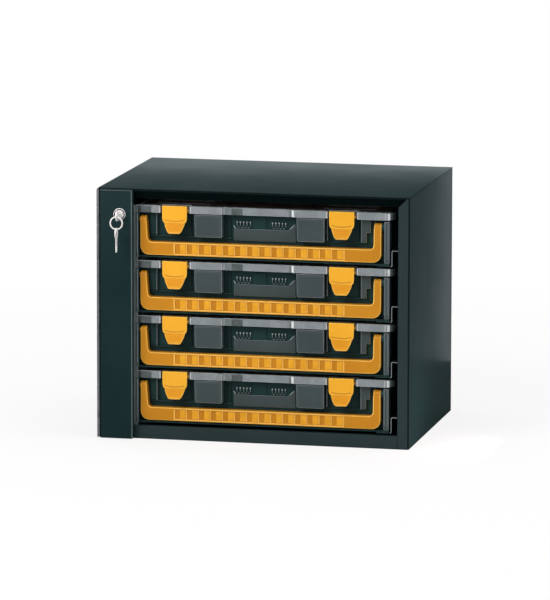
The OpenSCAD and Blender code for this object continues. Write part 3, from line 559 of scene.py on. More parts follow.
def turned(profile, axis, centre, steps=40, closed=False):
    shape = bmesh.new()
    layer = marks(shape)
    around = [2 * math.pi * i / steps for i in range(steps)]
    rows = []
    for radius, along in profile:
        places = ([(centre[0] + radius * math.cos(t), centre[1] + radius * math.sin(t)) for t in around]
                  if radius > ON_AXIS else [centre])
        rows.append([shape.verts.new(AXES[axis](a, b, along)) for a, b in places])
    looped = list(zip(profile, rows)) + ([(profile[0], rows[0])] if closed else [])
    for ((r0, t0), one), ((r1, t1), two) in zip(looped, looped[1:]):
        slope = math.degrees(math.atan2(abs(t1 - t0), abs(r1 - r0)))
        chamfer = 90 - RIDGE > slope > RIDGE and math.hypot(r1 - r0, t1 - t0) < CHAMFER_LENGTH
        for i in range(steps):
            j = (i + 1) % steps
            corners = [one[i % len(one)], one[j % len(one)], two[j % len(two)], two[i % len(two)]]
            corners = [v for n, v in enumerate(corners) if v not in corners[:n]]
            shape.faces.new(corners)[layer] = float(chamfer)
    return outwards(shape)


def rod(axis, centre, radius, start, end, steps=32, chamfer=0.4):
    flat = radius - chamfer
    profile = [(0.0, start), (flat, start), (radius, start + chamfer), (radius, end - chamfer), (flat, end),
               (0.0, end)]
    return turned(profile, axis, centre, steps)


def tube(axis, centre, outer, inner, start, end, steps=32, chamfer=0.3):
    flat = outer - chamfer
    profile = [(inner, start), (flat, start), (outer, start + chamfer), (outer, end - chamfer), (flat, end),
               (inner, end)]
    return turned(profile, axis, centre, steps, closed=True)


# %% [markdown]
# A piece is finished by joining its shapes, marking the edges that stay sharp, moving it to its place in
# metres and weighting its normals, so that large flat faces shade flat and only the rounded edges turn.
# It then rides on a body of the model and stands for one or more of its solids.

# %% Finish a piece
WIDE, DEEP, TALL, SHEET = 533.0, 377.0, 425.0, 1.2
CORNER = Vector((-WIDE / 2, -DEEP / 2, 0.0))
METRE, STAYS_SHARP, FLAT_WEIGHT = 0.001, math.radians(50), 90
finished = []


def baked(source, name):
    """A plain mesh object from an object with modifiers."""
    graph = bpy.context.evaluated_depsgraph_get()
    graph.update()
    result = link(bpy.data.objects.new(name, bpy.data.meshes.new_from_object(source.evaluated_get(graph))))
    result.data.name = name
    bpy.data.objects.remove(source)
    return result


def poured(shape, whole):
    """Adds a shape's faces to another shape."""
    passing = bpy.data.meshes.new("passing")
    shape.to_mesh(passing)
    whole.from_mesh(passing)
    bpy.data.meshes.remove(passing)


def dress(shape, name, test):
    """Gives the faces whose centre and normal pass a test a finish of their own."""
    own = shape.faces.layers.int.get("own_finish") or shape.faces.layers.int.new("own_finish")
    for face in [f for f in shape.faces if test(f.calc_center_median(), f.normal)]:
        face[own] = list(FINISHES).index(name) + 1
    return shape


def piece(name, body, nodes, shapes, shift=(0.0, 0.0, 0.0)):
    """shapes maps each finish to its shapes, in millimetres from the cabinet's front left bottom corner."""
    whole = bmesh.new()
    marks(whole)
    used = list(shapes)
    for index, solids in enumerate(shapes.values()):
        for solid in solids:
            own = solid.faces.layers.int.get("own_finish")
            for face in solid.faces:
                face.material_index = index
                if own and face[own]:
                    special = list(FINISHES)[face[own] - 1]
                    used += [special] if special not in used else []
                    face.material_index = used.index(special)
            if own:
                solid.faces.layers.int.remove(own)
            poured(solid, whole)
    for face in whole.faces:
        face.smooth = True
    for edge in whole.edges:
        edge.smooth = not (len(edge.link_faces) == 2 and edge.calc_face_angle(0.0) > STAYS_SHARP)
    to_place = Matrix.Scale(METRE, 4) @ Matrix.Translation(CORNER + Vector(shift))
    bmesh.ops.transform(whole, matrix=to_place, verts=whole.verts)
    mesh = bpy.data.meshes.new(name)
    whole.to_mesh(mesh)
    whole.free()
    for finish_name in used:
        mesh.materials.append(FINISHES[finish_name])
    source = link(bpy.data.objects.new(name + "_source", mesh))
    weighted = source.modifiers.new("weighted", "WEIGHTED_NORMAL")
    weighted.keep_sharp, weighted.weight = True, FLAT_WEIGHT
    made = baked(source, name)
    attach(made, body)
    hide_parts(*nodes.split())
    finished.append(name)


# %% [markdown]
# What repeats is made by one Geometry Nodes tree: it takes a single rivet, knuckle, rib or cup, lays out a
# grid of points with two steps, puts a copy on each and makes them real. The seed only varies their size
# by a hair, as hand-set rivets do.


# %% The tree for rows of copies
def rows_tree():
    tree = bpy.data.node_groups.new("rows_of_copies", "GeometryNodeTree")
    for label, value in (("Geometry", "Geometry"), ("Count", "Int"), ("Step", "Vector"), ("Rows", "Int"),
                         ("Row step", "Vector"), ("Size variation", "Float"), ("Seed", "Int"),
                         ("Finish", "Material")):
        tree.interface.new_socket(label, in_out="INPUT", socket_type="NodeSocket" + value)
    tree.interface.new_socket("Geometry", in_out="OUTPUT", socket_type="NodeSocketGeometry")
    out, given = tree.nodes.new("NodeGroupOutput"), tree.nodes.new("NodeGroupInput").outputs
    kind = "GeometryNode"
    row = put(tree, "MeshLine", {"Count": given["Count"], "Offset": given["Step"]}, kind)
    stack = put(tree, "MeshLine", {"Count": given["Rows"], "Offset": given["Row step"]}, kind)
    field = put(tree, "InstanceOnPoints", {"Points": stack.outputs[0], "Instance": row.outputs[0]}, kind)
    points = put(tree, "RealizeInstances", {"Geometry": field.outputs[0]}, kind)
    low = put(tree, "Math", {0: 1.0, 1: given["Size variation"]}, operation="SUBTRACT")
    size = put(tree, "RandomValue", {"Seed": given["Seed"]}, "FunctionNode", data_type="FLOAT")
    sizes = [s for s in size.outputs if s.enabled and s.type == "VALUE"][0]
    low_in, high_in = [s for s in size.inputs if s.name in ("Min", "Max") and s.type == "VALUE"]
    tree.links.new(low.outputs[0], low_in)
    high_in.default_value = 1.0
    copies = put(tree, "InstanceOnPoints", {"Points": points.outputs[0], "Instance": given["Geometry"],
                                            "Scale": sizes}, kind)
    real = put(tree, "RealizeInstances", {"Geometry": copies.outputs[0]}, kind)
    dressed = put(tree, "SetMaterial", {"Geometry": real.outputs[0], "Material": given["Finish"]}, kind)
    tree.links.new(dressed.outputs[0], out.inputs[0])
    return tree


ROWS = rows_tree()


def copies(solid, first, name, count, step, rows=1, row_step=(0, 0, 0), variation=0.0, seed=1):
    """Copies of one shape, drawn about its own origin: the first copy sits at the point first."""
    mesh = bpy.data.meshes.new("one")
    solid.to_mesh(mesh)
    solid.free()
    host = link(bpy.data.objects.new("rows", mesh))
    modifier = host.modifiers.new("rows", "NODES")
    modifier.node_group = ROWS
    values = {"Count": count, "Step": step, "Rows": rows, "Row step": row_step, "Size variation": variation,
              "Seed": seed, "Finish": FINISHES[name]}
    for item in ROWS.interface.items_tree:
        if item.in_out == "INPUT" and item.name in values:
            modifier[item.identifier] = values[item.name]
    made = baked(host, "rows")
    shape = bmesh.new()
    shape.from_mesh(made.data)
    bpy.data.objects.remove(made)
    bmesh.ops.translate(shape, vec=Vector(first), verts=shape.verts)
    return shape


print("shapes are ready")

# %% [markdown]
# ## The cabinet's shell
#
# The shell is folded from 1.2 mm sheet. The right side turns round the front corner and becomes a narrow
# stile with a fold behind it. The roof is one flat sheet, and the header slopes back under its front edge.

# %% Sides, roof and base
RIGHT_IN, TOP_IN, HALF = WIDE - SHEET, TALL - SHEET, SHEET / 2
FLANGE, STILE, STILE_TURN = 375.2, 513.0, 530.3
HEADER_LOW, HEADER_END, HEADER_SLANT = 407.5, 520.5, 9.4
side_path = [(517.8, FLANGE), (WIDE - HALF, FLANGE), (WIDE - HALF, HALF), (530.2, HALF)]
right_side = bent(side_path, "z", SHEET, TOP_IN, radius=1.5)
front_fold = bent([(STILE_TURN, HALF), (STILE + HALF, HALF), (STILE + HALF, 6.0)], "z", SHEET, HEADER_LOW,
                  radius=1.1)
front_top = panel([[(STILE, HEADER_LOW - 0.3), (STILE_TURN, HEADER_LOW - 0.3), (STILE_TURN, TOP_IN),
                    (529.4, TOP_IN)]], "y", 0.0, SHEET, 0.15, rim_mark=0.0)
piece("right_side_and_stile", "cabinet", "side_right stile_right",
      {"powder_coat": [right_side], "front_coat_painted_lighter": [front_fold, front_top]})
left_side = bent([(13.8, FLANGE), (HALF, FLANGE), (HALF, -9.2)], "z", SHEET, TOP_IN, radius=1.5)
piece("left_side", "cabinet", "side_left", {"powder_coat": [left_side]})
sheet_outline = round_rectangle(0, 0, WIDE, DEEP, 1.2, 3)
roof = panel([sheet_outline], "z", TOP_IN, TALL, 0.5, 2)
piece("roof", "cabinet", "top_panel", {"powder_coat": [roof]})
bolt_holes = [arc(WIDE / 2 + x * 220, DEEP / 2 + y * 150, 3.5, 0, 345, 23) for x in (-1, 1) for y in (-1, 1)]
floor_pan = panel([sheet_outline] + bolt_holes, "z", 0.0, SHEET, 0.35, 1)
piece("floor_pan", "cabinet", "base_panel", {"powder_coat": [floor_pan]})

# %% [markdown]
# The back is one riveted sheet, stiffened by three pressed beads that run across it.

# %% Back with pressed beads
BEAD_LENGTH, BEAD_PITCH, BEAD_MARK = 430.0, 116.5, 0.4
rear = panel([rectangle(SHEET, SHEET, RIGHT_IN, TOP_IN)], "y", DEEP - SHEET, DEEP, 0.2)
bead = prism([(b - 1.37, a) for a, b in arc(0, 0, 4.0, 20, 160, 6)], "x", 0.0, BEAD_LENGTH, 0.0)
# Every face of a bead carries a weak edge mark, so the cabinet paint's darker edge colour shades the beads a
# little: painted shade.
mark = marks(bead)
for face in bead.faces:
    face[mark] = BEAD_MARK
beads = copies(bead, (51.5, DEEP - 1.95, 96.0), "powder_coat", 3, (0, 0, BEAD_PITCH))
piece("back_sheet", "cabinet", "back_panel", {"powder_coat": [rear, beads]})

# %% [markdown]
# The header's right end is cut on a slant, so the last points of its profile are moved sideways by their
# height. The left stile has a slot for the lock's cam. The partition carries a strip beside the door that is
# painted light, to make up for the shade of the door bar.

# %% Header, front rail, left stile and partition
PARTITION = 58.1
cam_slot = rectangle(32.9, 375.2, 50.5, 415.6)
header_path = [(17.0, TALL - 1.8), (1.3, TALL - 1.8), (11.0, HEADER_LOW + HALF), (17.0, HEADER_LOW + HALF)]
header = bent(header_path, "x", PARTITION, HEADER_END, radius=0.9)
for vert in header.verts:
    if vert.co.x > WIDE / 2:
        vert.co.x += HEADER_SLANT * (vert.co.z - HEADER_LOW) / (TALL - HEADER_LOW)
piece("sloping_header", "cabinet", "header_rail", {"shaded_coat": [header]})
toe = bent([(HALF, SHEET), (HALF, 21.4), (10.0, 21.4)], "x", PARTITION, STILE, radius=1.1)
piece("front_rail_fold", "cabinet", "front_rail", {"front_coat_painted_lighter": [toe]})
stile = panel([rectangle(SHEET, SHEET, PARTITION, TOP_IN), cam_slot], "y", 0.0, SHEET, 0.15)
piece("left_stile_sheet", "cabinet", "stile_left", {"shaded_coat": [stile]})
partition = panel([rectangle(SHEET, SHEET, 375.8, TOP_IN)], "x", PARTITION - SHEET, PARTITION, 0.15)
post_strip = block((58.3, 4.6, 22.4), (61.7, 6.4, 397.0), 0.3, 1)
piece("partition", "cabinet", "inner_wall",
      {"shaded_coat": [partition], "post_painted_light": [post_strip]})

# %% [markdown]
# Each case rests on two runners. The right one is folded like a Z and ends in an upturned flange on the side
# sheet. The left one is an angle with two small tabs turned down at its front. The right runner's cut front
# end gets a bright painted highlight and the left tabs are painted light: they draw the thin light lines
# that show beside each case.

# %% Runners
SHELVES = {1: 308.5, 2: 214.6, 3: 120.7, 4: 26.8}
SHELF_PITCH = 93.9
WEB, FLANGE_OUT, RUN_FRONT, RUN_REAR = 501.0, 30.2, 7.0, 347.0
for k, shelf in SHELVES.items():
    low, high = shelf - 0.8, shelf + 25.8
    z_path = [(WEB - 25.0, low), (WEB + HALF, low), (WEB + HALF, high - HALF),
              (WEB + FLANGE_OUT, high - HALF), (WEB + FLANGE_OUT, high + 7.8)]
    angle = bent(z_path, "y", RUN_FRONT, RUN_REAR, radius=1.6, steps=4)
    # The lower flange under the case takes the case plastic's finish, whose dim edge colour keeps the painted
    # highlight off its cut end.
    dress(angle, "charcoal_shell", lambda at, normal: at.x < WEB - 2 and at.z < low + 1.0)
    piece(f"right_runner_{k}", "cabinet", f"runner_right_{k}", {"runner_steel": [angle]})
    l_angle = bent([(84.3, low), (58.7, low), (58.7, high)], "y", RUN_FRONT, RUN_REAR, radius=1.0, steps=3)
    tabs = [block((a, 5.4, shelf - 5.2), (b, 6.9, shelf - 0.25), 0.2, 1)
            for a, b in ((61.9, 63.3), (63.3, 66.9))]
    piece(f"left_runner_{k}", "cabinet", f"runner_left_{k}",
          {"shaded_coat": [l_angle], "post_painted_light": tabs})

# %% [markdown]
# Blind rivets have a low dome with the stub of their mandrel in a small hole. One is turned, and the tree of
# rows sets them: twelve through the left runners and eight down the back.

# %% Rivets
RIVET = [(0.0, 0.55), (0.8, 0.55), (0.85, 0.75), (1.3, 0.85), (1.6, 1.1), (2.6, 0.85), (3.4, 0.35),
         (3.6, 0.0), (2.0, 0.0), (2.0, -2.4), (3.0, -2.4), (2.6, -3.5), (0.0, -3.5)]
BACK_INSET, SIZE_CHANGE = 7.2, 0.04


def rivet(quarter, axis):
    """A rivet that looks upwards, turned a quarter about an axis to look through its sheet."""
    shape = turned(RIVET, "z", (0, 0), 20)
    turn = Matrix.Rotation(math.radians(90 * quarter), 3, axis)
    bmesh.ops.rotate(shape, cent=(0, 0, 0), matrix=turn, verts=shape.verts)
    return shape


third = (RUN_REAR - RUN_FRONT) / 3
wall_rivets = copies(rivet(1, "Y"), (59.3, RUN_FRONT + third / 2, SHELVES[4] + 20.0), "zinc_plate", 3,
                     (0, third, 0), 4, (0, 0, SHELF_PITCH), SIZE_CHANGE, 3)
rear_rivets = copies(rivet(-1, "X"), (BACK_INSET, DEEP, TALL / 8), "zinc_plate", 2,
                     (WIDE - 2 * BACK_INSET, 0, 0), 4, (0, 0, TALL / 4), SIZE_CHANGE, 5)
piece("rivet_rows", "cabinet", "rivets", {"zinc_plate": [wall_rivets, rear_rivets]})
print("shell:", len(finished), "pieces")

# %% [markdown]
# ## The door bar
#
# The narrow door is a channel with closed ends on a long hinge. The hinge's knuckles belong in turn to the
# cabinet and to the door; the tree of rows sets seven of them on each leaf, and one pin runs through all.

# %% Hinge
AXIS = (2.7, -12.0)
HINGE_LOW, HINGE_TOP = 2.2, 422.8
KNUCKLE = (HINGE_TOP - HINGE_LOW) / 14


def knuckle(lean):
    """A ring about the pin and a strap towards its leaf, lean millimetres wide."""
    ring = tube("z", (0, 0), 2.5, 1.58, 0.15, KNUCKLE - 0.15, 24, 0.35)
    strap = block((min(0, lean), 0.3, 0.15), (max(0, lean), 3.1, KNUCKLE - 0.15), 0.15, 1)
    poured(strap, ring)
    strap.free()
    return ring


for name, body, node, lean, start, leaf in (
        ("hinge_on_cabinet", "cabinet", "hinge_leaf_fixed", -1.2, 0, 1.25),
        ("hinge_on_door", "door", "hinge_leaf_door", 2.4, KNUCKLE, 4.5)):
    row = copies(knuckle(lean), (*AXIS, HINGE_LOW + start), "zinc_plate", 7, (0, 0, 2 * KNUCKLE))
    plate = block((leaf, -9.2, HINGE_LOW), (leaf + 0.95, -0.8, HINGE_TOP), 0.2, 1)
    piece(name, body, node, {"zinc_plate": [row, plate]})
piece("hinge_wire", "cabinet", "hinge_pin",
      {"zinc_plate": [rod("z", AXIS, 1.5, HINGE_LOW, HINGE_TOP, 20, 0.3)]})

# %% [markdown]
# The channel starts as a softened block. Its rear is opened, the rest gets the sheet's thickness, and only
# the long right edge and a little of the top edge keep their mark for the painted highlight.

# %% Door channel
DOOR_L, DOOR_R, FACE = 5.5, 61.6, -14.5
tray = block((DOOR_L, FACE, 1.0), (DOOR_R, -0.5, 424.0), 1.4, 2)
bmesh.ops.delete(tray, geom=[f for f in tray.faces if f.calc_center_median().y > -3.0], context="FACES")
bmesh.ops.solidify(tray, geom=tray.faces[:], thickness=SHEET)
mark = marks(tray)
for face in tray.faces:
    at = face.calc_center_median()
    if at.x < DOOR_L + 2.2 or at.z < 3.0 or at.y > -12.4:
        face[mark] = 0.0
    elif at.z > 421.0:
        face[mark] *= 0.5
# The top face takes the cabinet paint, so its upper rounded edge gets a painted shade line, not the door's
# painted highlight.
dress(tray, "powder_coat", lambda at, normal: normal.z > 0.9)
# The left rounded edge of the face is near black, a painted shade line beside the hinge.
dress(tray, "shaded_coat", lambda at, normal: at.x < DOOR_L + 1.3 and normal.x < -0.1 and at.y < FACE + 1.3)
outwards(tray)
hem = block((DOOR_R - 6.0, -3.2, 3.0), (DOOR_R - 0.6, -2.0, 422.0), 0.3, 1)
piece("door_channel", "door", "door_bar", {"door_coat": [tray, hem]})

# %% [markdown]
# ## Lock and keys
#
# The cam lock is turned: a flange with a raised rim and a groove, and a plug with the key slot cut through
# its face. The keys are cut from flat plate like panels, with a bow, a hole and a bitted blade. The ring is a
# real split ring, a flat wire that goes round twice.

# %% Lock
LOCK = LOCK_X, LOCK_Z = (40.7, 383.0)
CAM_REACH, PLUG_RADIUS = 19, 6.45
flange = turned([(6.55, -3.5), (6.55, -16.3), (7.4, -16.9), (8.2, -16.9), (8.5, -16.45), (9.0, -16.45),
                 (9.3, -16.95), (9.7, -16.95), (10.2, -16.4), (10.2, -14.55), (8.75, -14.5), (8.75, -3.8),
                 (8.4, -3.5)], "y", LOCK, 56, closed=True)
# The groove ring in the flange's face is painted dark, a painted shade.
dress(flange, "groove_painted_shade",
      lambda at, normal: at.y < -15.9 and 7.7 < math.hypot(at.x - LOCK_X, at.z - LOCK_Z) < 9.15)
piece("lock_body", "door", "lock_barrel", {"nickel_plate": [flange]})
nut = panel([arc(*LOCK, 13.8, 0, 300, 5), arc(*LOCK, 8.8, 0, 350, 35)], "y", -13.3, -8.8, 0.6, 1)
piece("lock_nut_plate", "door", "lock_nut", {"zinc_plate": [nut]})
key_slot = rectangle(LOCK_X - 1.1, LOCK_Z - 3.6, LOCK_X + 1.1, LOCK_Z + 3.6)
plug = panel([arc(*LOCK, PLUG_RADIUS, 0, 352, 44), key_slot], "y", -17.6, -4.4, 0.35, 1)
plug_back = rod("y", LOCK, PLUG_RADIUS, -4.45, -3.5, 44, 0.2)
tail = block((LOCK_X - 3.5, -3.6, LOCK_Z - 3.5), (LOCK_X + 3.5, 5.0, LOCK_Z + 3.5), 0.4)
piece("lock_core", "lock", "lock_plug", {"nickel_plate": [plug, plug_back, tail]})
tongue_outline = (arc(*LOCK, 7.0, 135.6, 404.4, 30) + [(LOCK_X + 5, LOCK_Z + CAM_REACH)]
                  + arc(LOCK_X, LOCK_Z + CAM_REACH, 5, 10, 170, 10) + [(LOCK_X - 5, LOCK_Z + CAM_REACH)])
piece("lock_tongue", "lock", "lock_cam",
      {"zinc_plate": [panel([tongue_outline], "y", 2.6, 5.0, 0.35, 1)]})
screw = turned([(0.0, 7.2), (0.9, 7.2), (1.0, 6.6), (1.6, 6.6), (1.7, 7.2), (3.6, 7.15), (4.3, 6.5),
                (4.5, 5.9), (4.5, 5.0), (0.0, 5.0)], "y", LOCK, 24)
piece("tongue_screw", "lock", "cam_screw", {"zinc_plate": [screw]})

# %% Keys
BOW_RADIUS, BLADE_HALF, HOLE_RADIUS = 9.5, 3.5, 2.6


def key_outline(tip):
    """Bow about the origin, blade towards +a with three cuts near its tip."""
    lean = math.degrees(math.asin(BLADE_HALF / BOW_RADIUS))
    bits = []
    for i in (2, 1, 0):
        bits += arc(tip - 3.0 - 3.4 * i, -BLADE_HALF, 1.1 + 0.2 * (i % 2), 180, 0, 8)
    end = [(tip - 1.2, -BLADE_HALF), (tip, -2.0), (tip, 2.0), (tip - 1.2, BLADE_HALF)]
    return arc(0, 0, BOW_RADIUS, lean, 360 - lean, 48) + bits + end


def key_shapes(place, blade, down=False):
    """A plate, two rails that leave a milled groove along the blade, and a raised rim round the bow."""
    tip = BOW_RADIUS + blade

    def plate(half, rim, *outlines):
        laid = [[(place[0] + b, place[1] - a) if down else (place[0] + a, place[1] + b) for a, b in points]
                for points in outlines]
        return panel(laid, "x", LOCK_X - half, LOCK_X + half, rim, 1)

    rails = [plate(0.98, 0.08, rectangle(6.0, low, tip - 2.0, high))
             for low, high in ((1.3, 3.3), (-1.9, -0.2))]
    return [plate(0.85, 0.22, key_outline(tip), arc(-5.5, 0, HOLE_RADIUS, 0, 345, 23)), *rails,
            plate(1.0, 0.12, arc(0, 0, 8.4, 0, 350, 35), arc(-0.6, 0, 6.6, 0, 350, 35))]


piece("key_in_lock", "lock", "key", {"nickel_plate": key_shapes((-32.1, LOCK_Z), 18.0)})
piece("hanging_key", "spare_key", "spare_key",
      {"nickel_plate": key_shapes((-37.6, 353.9), 23.0, down=True)})


# %% Split ring
def split_ring(centre, radius, turns=1.94, steps=96):
    """A flat wire with chamfered edges. It steps aside after most of a turn, to lie beside itself."""
    section = [(-1.0, -0.4), (1.0, -0.4), (1.15, -0.25), (1.15, 0.25), (1.0, 0.4), (-1.0, 0.4), (-1.15, 0.25),
               (-1.15, -0.25)]
    rings = []
    for i in range(int(steps * turns) + 1):
        a = 2 * math.pi * i / steps - 0.4
        shift = -0.42 + 0.84 * max(0.0, min(1.0, (i / steps - 0.86) / 0.16))
        rings.append([(centre[0] + (radius + r) * math.cos(a), centre[1] + shift + t,
                       centre[2] + (radius + r) * math.sin(a)) for r, t in section])
    return lofted(rings, lambda row, side: 0.0 if side % 2 else 1.0)


ring_wire = split_ring((LOCK_X, -37.6, 371.2), 10.4)
piece("split_key_ring", "key_ring", "key_ring", {"nickel_plate": [ring_wire]})
print("door and lock:", len(finished), "pieces")

# %% [markdown]
# ## The organiser case
#
# All four cases are alike, so each shape is made once in the case's own millimetres, from its front left
# bottom corner, and set four times. The body is a tub whose front wall stands back 16.5 mm. In front of it
# are the corner columns, two grained blocks, a raised middle panel with small teeth above it, and thin ribs.

# %% Numbers of the case
CASE_W, CASE_D, BASE_H, CASE_H = 434.7, 342.0, 75.4, 88.5
RECESS, MIDDLE, WALL = 16.5, 211.2, 2.2
FRONT, INSIDE_TOP = RECESS + 1, 74.8
LATCHES = (MIDDLE - 143.0, MIDDLE + 143.0)
CASE_X, CASE_Y = 62.8, 6.0
REAR_HINGE, LINK = (346.0, BASE_H), 48.3


def free(shapes):
    for solids in shapes.values():
        for solid in solids:
            solid.free()


def for_each_case(name, body, node, shapes):
    """Sets the same shapes in all four cases. Names end in the case's number."""
    for k, shelf in SHELVES.items():
        copied = {finish_name: [s.copy() for s in solids] for finish_name, solids in shapes.items()}
        piece(f"{name}_{k}", f"{body}_{k}", f"{node}_{k}", copied, (CASE_X, CASE_Y, shelf))
        free(copied)
    free(shapes)


def outline_inset(points, distance):
    """A polygon moved inwards by a distance, for walls that follow an outline drawn anticlockwise."""
    moved = []
    for before, corner, after in corners_of(points):
        u, v = (corner - before).normalized(), (after - corner).normalized()
        n, m = Vector((-u.y, u.x)), Vector((-v.y, v.x))
        bisector = (n + m).normalized()
        moved.append(tuple(corner + bisector * (distance / max(0.35, bisector.dot(n)))))
    return moved


def rear_knuckles(first, inner, low, high):
    """Every second knuckle of the rear hinge, with a link to the moulding that starts at inner."""
    rings, links = [], []
    for i in range(first, first + 8, 2):
        start, end = LINK * (i + 0.5) + 0.2, LINK * (i + 1.5) - 0.2
        rings.append(tube("x", REAR_HINGE, 3.95, 1.6, start, end, 24, 0.4))
        links.append(block((start, inner, low), (end, CASE_D + 3.6, high), 0.4, 1))
    return rings + links


# %% Tub
tub_outline = round_rectangle(0, RECESS, CASE_W, CASE_D, 5.0, 5)
tub = [panel([tub_outline, outline_inset(tub_outline, WALL)], "z", 0.6, BASE_H, 0.5, 1),
       panel([outline_inset(tub_outline, 0.3)], "z", 0.0, WALL, 0.9, 2),
       copies(block((0, 0, 0), (1.4, 1.6, 58.0), 0.3, 1), (30.0, CASE_D - 0.4, 8.0), "charcoal_shell", 15,
              (26.0, 0, 0))]
print("tub with 15 stiffeners at the rear")

# %% [markdown]
# The details of the front are short lists of places. The blocks taper a little towards their round lower
# corners and carry a grained inlay. The teeth stand in two rows of five, each on a thin shank.

# %% Front of the tub
BLOCKS = ((124.75, 36.8), (299.8, 35.2))
TOOTH_ROWS = ((171.6, 5.75), (232.6, 5.6))


def wall_rib(x, half, y, low, soft=0.3):
    """A rib that stands on the front wall and reaches forward to y. It is twice half wide."""
    return block((x - half, y, low), (x + half, FRONT, INSIDE_TOP), soft, 1)


def tooth_rows(half, y, high, soft, steps, finish_name, first, count, shift=0.0):
    """One small block for each place in the two rows."""
    return [copies(block((-half, 0, 0), (half, y[1], high), soft, steps), (x + shift, y[0], first),
                   finish_name, count, (pitch, 0, 0)) for x, pitch in TOOTH_ROWS]


latch_ledges = [block((x - 10, 6.0, 50.0), (x + 10, FRONT, 53.0), 0.5) for x in LATCHES]
blocks = [panel([[(x - 23.85, INSIDE_TOP), (x - 22.9, low + 2.4)] + arc(x - 20.3, low + 2.6, 2.6, 185, 270, 4)
                 + arc(x + 21.2, low + 2.6, 2.6, 270, 360, 4) + [(x + 23.85, INSIDE_TOP)]],
                "y", 1.5, FRONT, 1.1, 2, narrow=1.2) for x, low in BLOCKS]
inlays = [block((x - 20.5, 1.2, low + 3.2), (x + 20.5, 3.0, 71.8), 0.25, 1) for x, low in BLOCKS]
middle_outline = softened([(166.5, 31.8), (272.0, 31.8), (272.0, 62.5), (268.6, 61.0), (262.3, 55.0),
                           (259.0, 51.6), (171.0, 51.6), (169.6, 53.6), (166.5, 57.4)], 1.0, 2)
tab_outline = softened([(197.0, 50.0), (224.0, 50.0), (222.0, 55.0), (222.0, 73.0), (199.0, 73.0),
                        (199.0, 55.0)], 1.5, 2)
middle_panel = panel([middle_outline], "y", 14.0, FRONT, 0.5, 1)
middle_tab = panel([tab_outline], "y", 15.0, FRONT, 0.4, 1, rim_mark=0.0)
# Two light strips on the middle panel's slanting corners: a painted highlight.
slant_highlights = [prism(outline, "y", 13.2, 15.0, 0.3, 1)
          for outline in ([(262.6, 54.6), (264.0, 54.0), (269.6, 59.4), (268.2, 60.6)],
                          [(169.9, 53.4), (168.7, 52.4), (165.2, 56.6), (166.4, 57.6)])]
teeth = tooth_rows(0.9, (13.0, 4.0), 2.4, 0.6, 2, "tooth_tips", 61.6, 5)
shanks = tooth_rows(0.6, (13.9, 3.0), 5.8, 0.3, 1, "plastic_painted_light", 56.6, 5)
seats = tooth_rows(1.7, (13.8, 3.2), 2.2, 0.5, 1, "grained_block", 52.8, 4, 2.8)
ledges = [block((x, 13.0, 34.0), (end, FRONT, 36.0), 0.5, 2)
          for x, end in ((24.0, 100.9), (148.4, 166.5), (272.0, 276.0), (323.6, 393.6))]
left_pad = block((22.5, 12.5, 37.2), (34.0, FRONT, INSIDE_TOP), 0.5, 1)
right_pad = panel([[(385.6, 36.0), (393.6, 36.0), (393.6, 52.7), (400.5, 52.7), (400.5, INSIDE_TOP),
                    (385.6, INSIDE_TOP)]], "y", 10.5, FRONT, 0.5, 1)
# The thin ribs are drawn in the lighter plastic, painted light, so they show as light lines.
thin_ribs = [wall_rib(x, 0.7, y, low, soft=0.45)
             for x, y, low in ((327.2, 8.5, 37.2), (34.3, 10.0, 37.2), (385.2, 9.8, 36.0))]
wall_ribs = [wall_rib(x, 0.6, 13.0, 37.2) for x in (154.4, 160.0, 93.0, 98.0, 331.5, 379.5)]
print("front of the case: blocks, pads, ribs and", 5 * len(TOOTH_ROWS), "teeth")

# %% Corners of the tub, and the body of each case
COLUMN_IN = 425.7
PIVOT = (7.5, 64.0)
foot = block((0, 3.0, 0), (CASE_W, FRONT, 2.5), 0.4, 1)
columns = [block((-0.4, 0.6, 0.0), (4.2, FRONT, BASE_H + 0.4), 0.9, 2),
           block((COLUMN_IN, 0.6, 4.0), (CASE_W, FRONT, BASE_H - 1.6), 1.0, 2)]
# The left corner post is painted light, to make up for the door bar's shade.
left_corner = block((-1.0, 0.5, 0.0), (0.6, 5.0, BASE_H + 0.4), 0.3, 1)
# Thin light strips on the columns stand for their lit edges: a painted highlight.
column_highlight_strips = [block((a, 0.0, low), (b, 4.0, BASE_H - 2.0), 0.4, 1)
                for a, b, low in ((425.8, 427.9, 10.0), (431.4, 433.2, 10.0), (1.8, 3.2, 8.0))]
column_feet = [block((4.0, 2.0, 0), (5.6, FRONT, BASE_H - 1), 0.3, 1),
               block((425.2, 0.6, 0), (CASE_W, FRONT, 4.2), 0.6, 2)]
boss = tube("x", PIVOT, 6.95, 3.06, 421.2, 425.9, 36, 0.5)
for_each_case("case_body", "case", "case_base", {
    "charcoal_shell": (tub + [boss, left_pad, middle_tab]
                       + rear_knuckles(0, CASE_D - 0.2, BASE_H - 4.0, BASE_H - 0.4)
                       + [foot] + latch_ledges + column_feet + wall_ribs + ledges),
    "grained_block": blocks + inlays + [middle_panel, right_pad] + seats + columns,
    "plastic_painted_light": thin_ribs + column_highlight_strips + shanks,
    "post_painted_light": [left_corner],
    "tooth_tips": teeth + slant_highlights,
})

# %% [markdown]
# ## The clear lid
#
# The lid is one clear moulding. Its rim looks denser than its top, because the eye looks along the wall
# there, so the rim and the window get their own finishes. Two notches take the latches, and the middle of
# the front edge is set back. Light and shade are painted on the rim in lighter and darker tones along the
# front, so the softened outline has extra points where one zone ends and the next begins. Walls are inset
# from the plain outline, because an inset wider than a corner's curve would fold it. A lug closes each front
# corner.

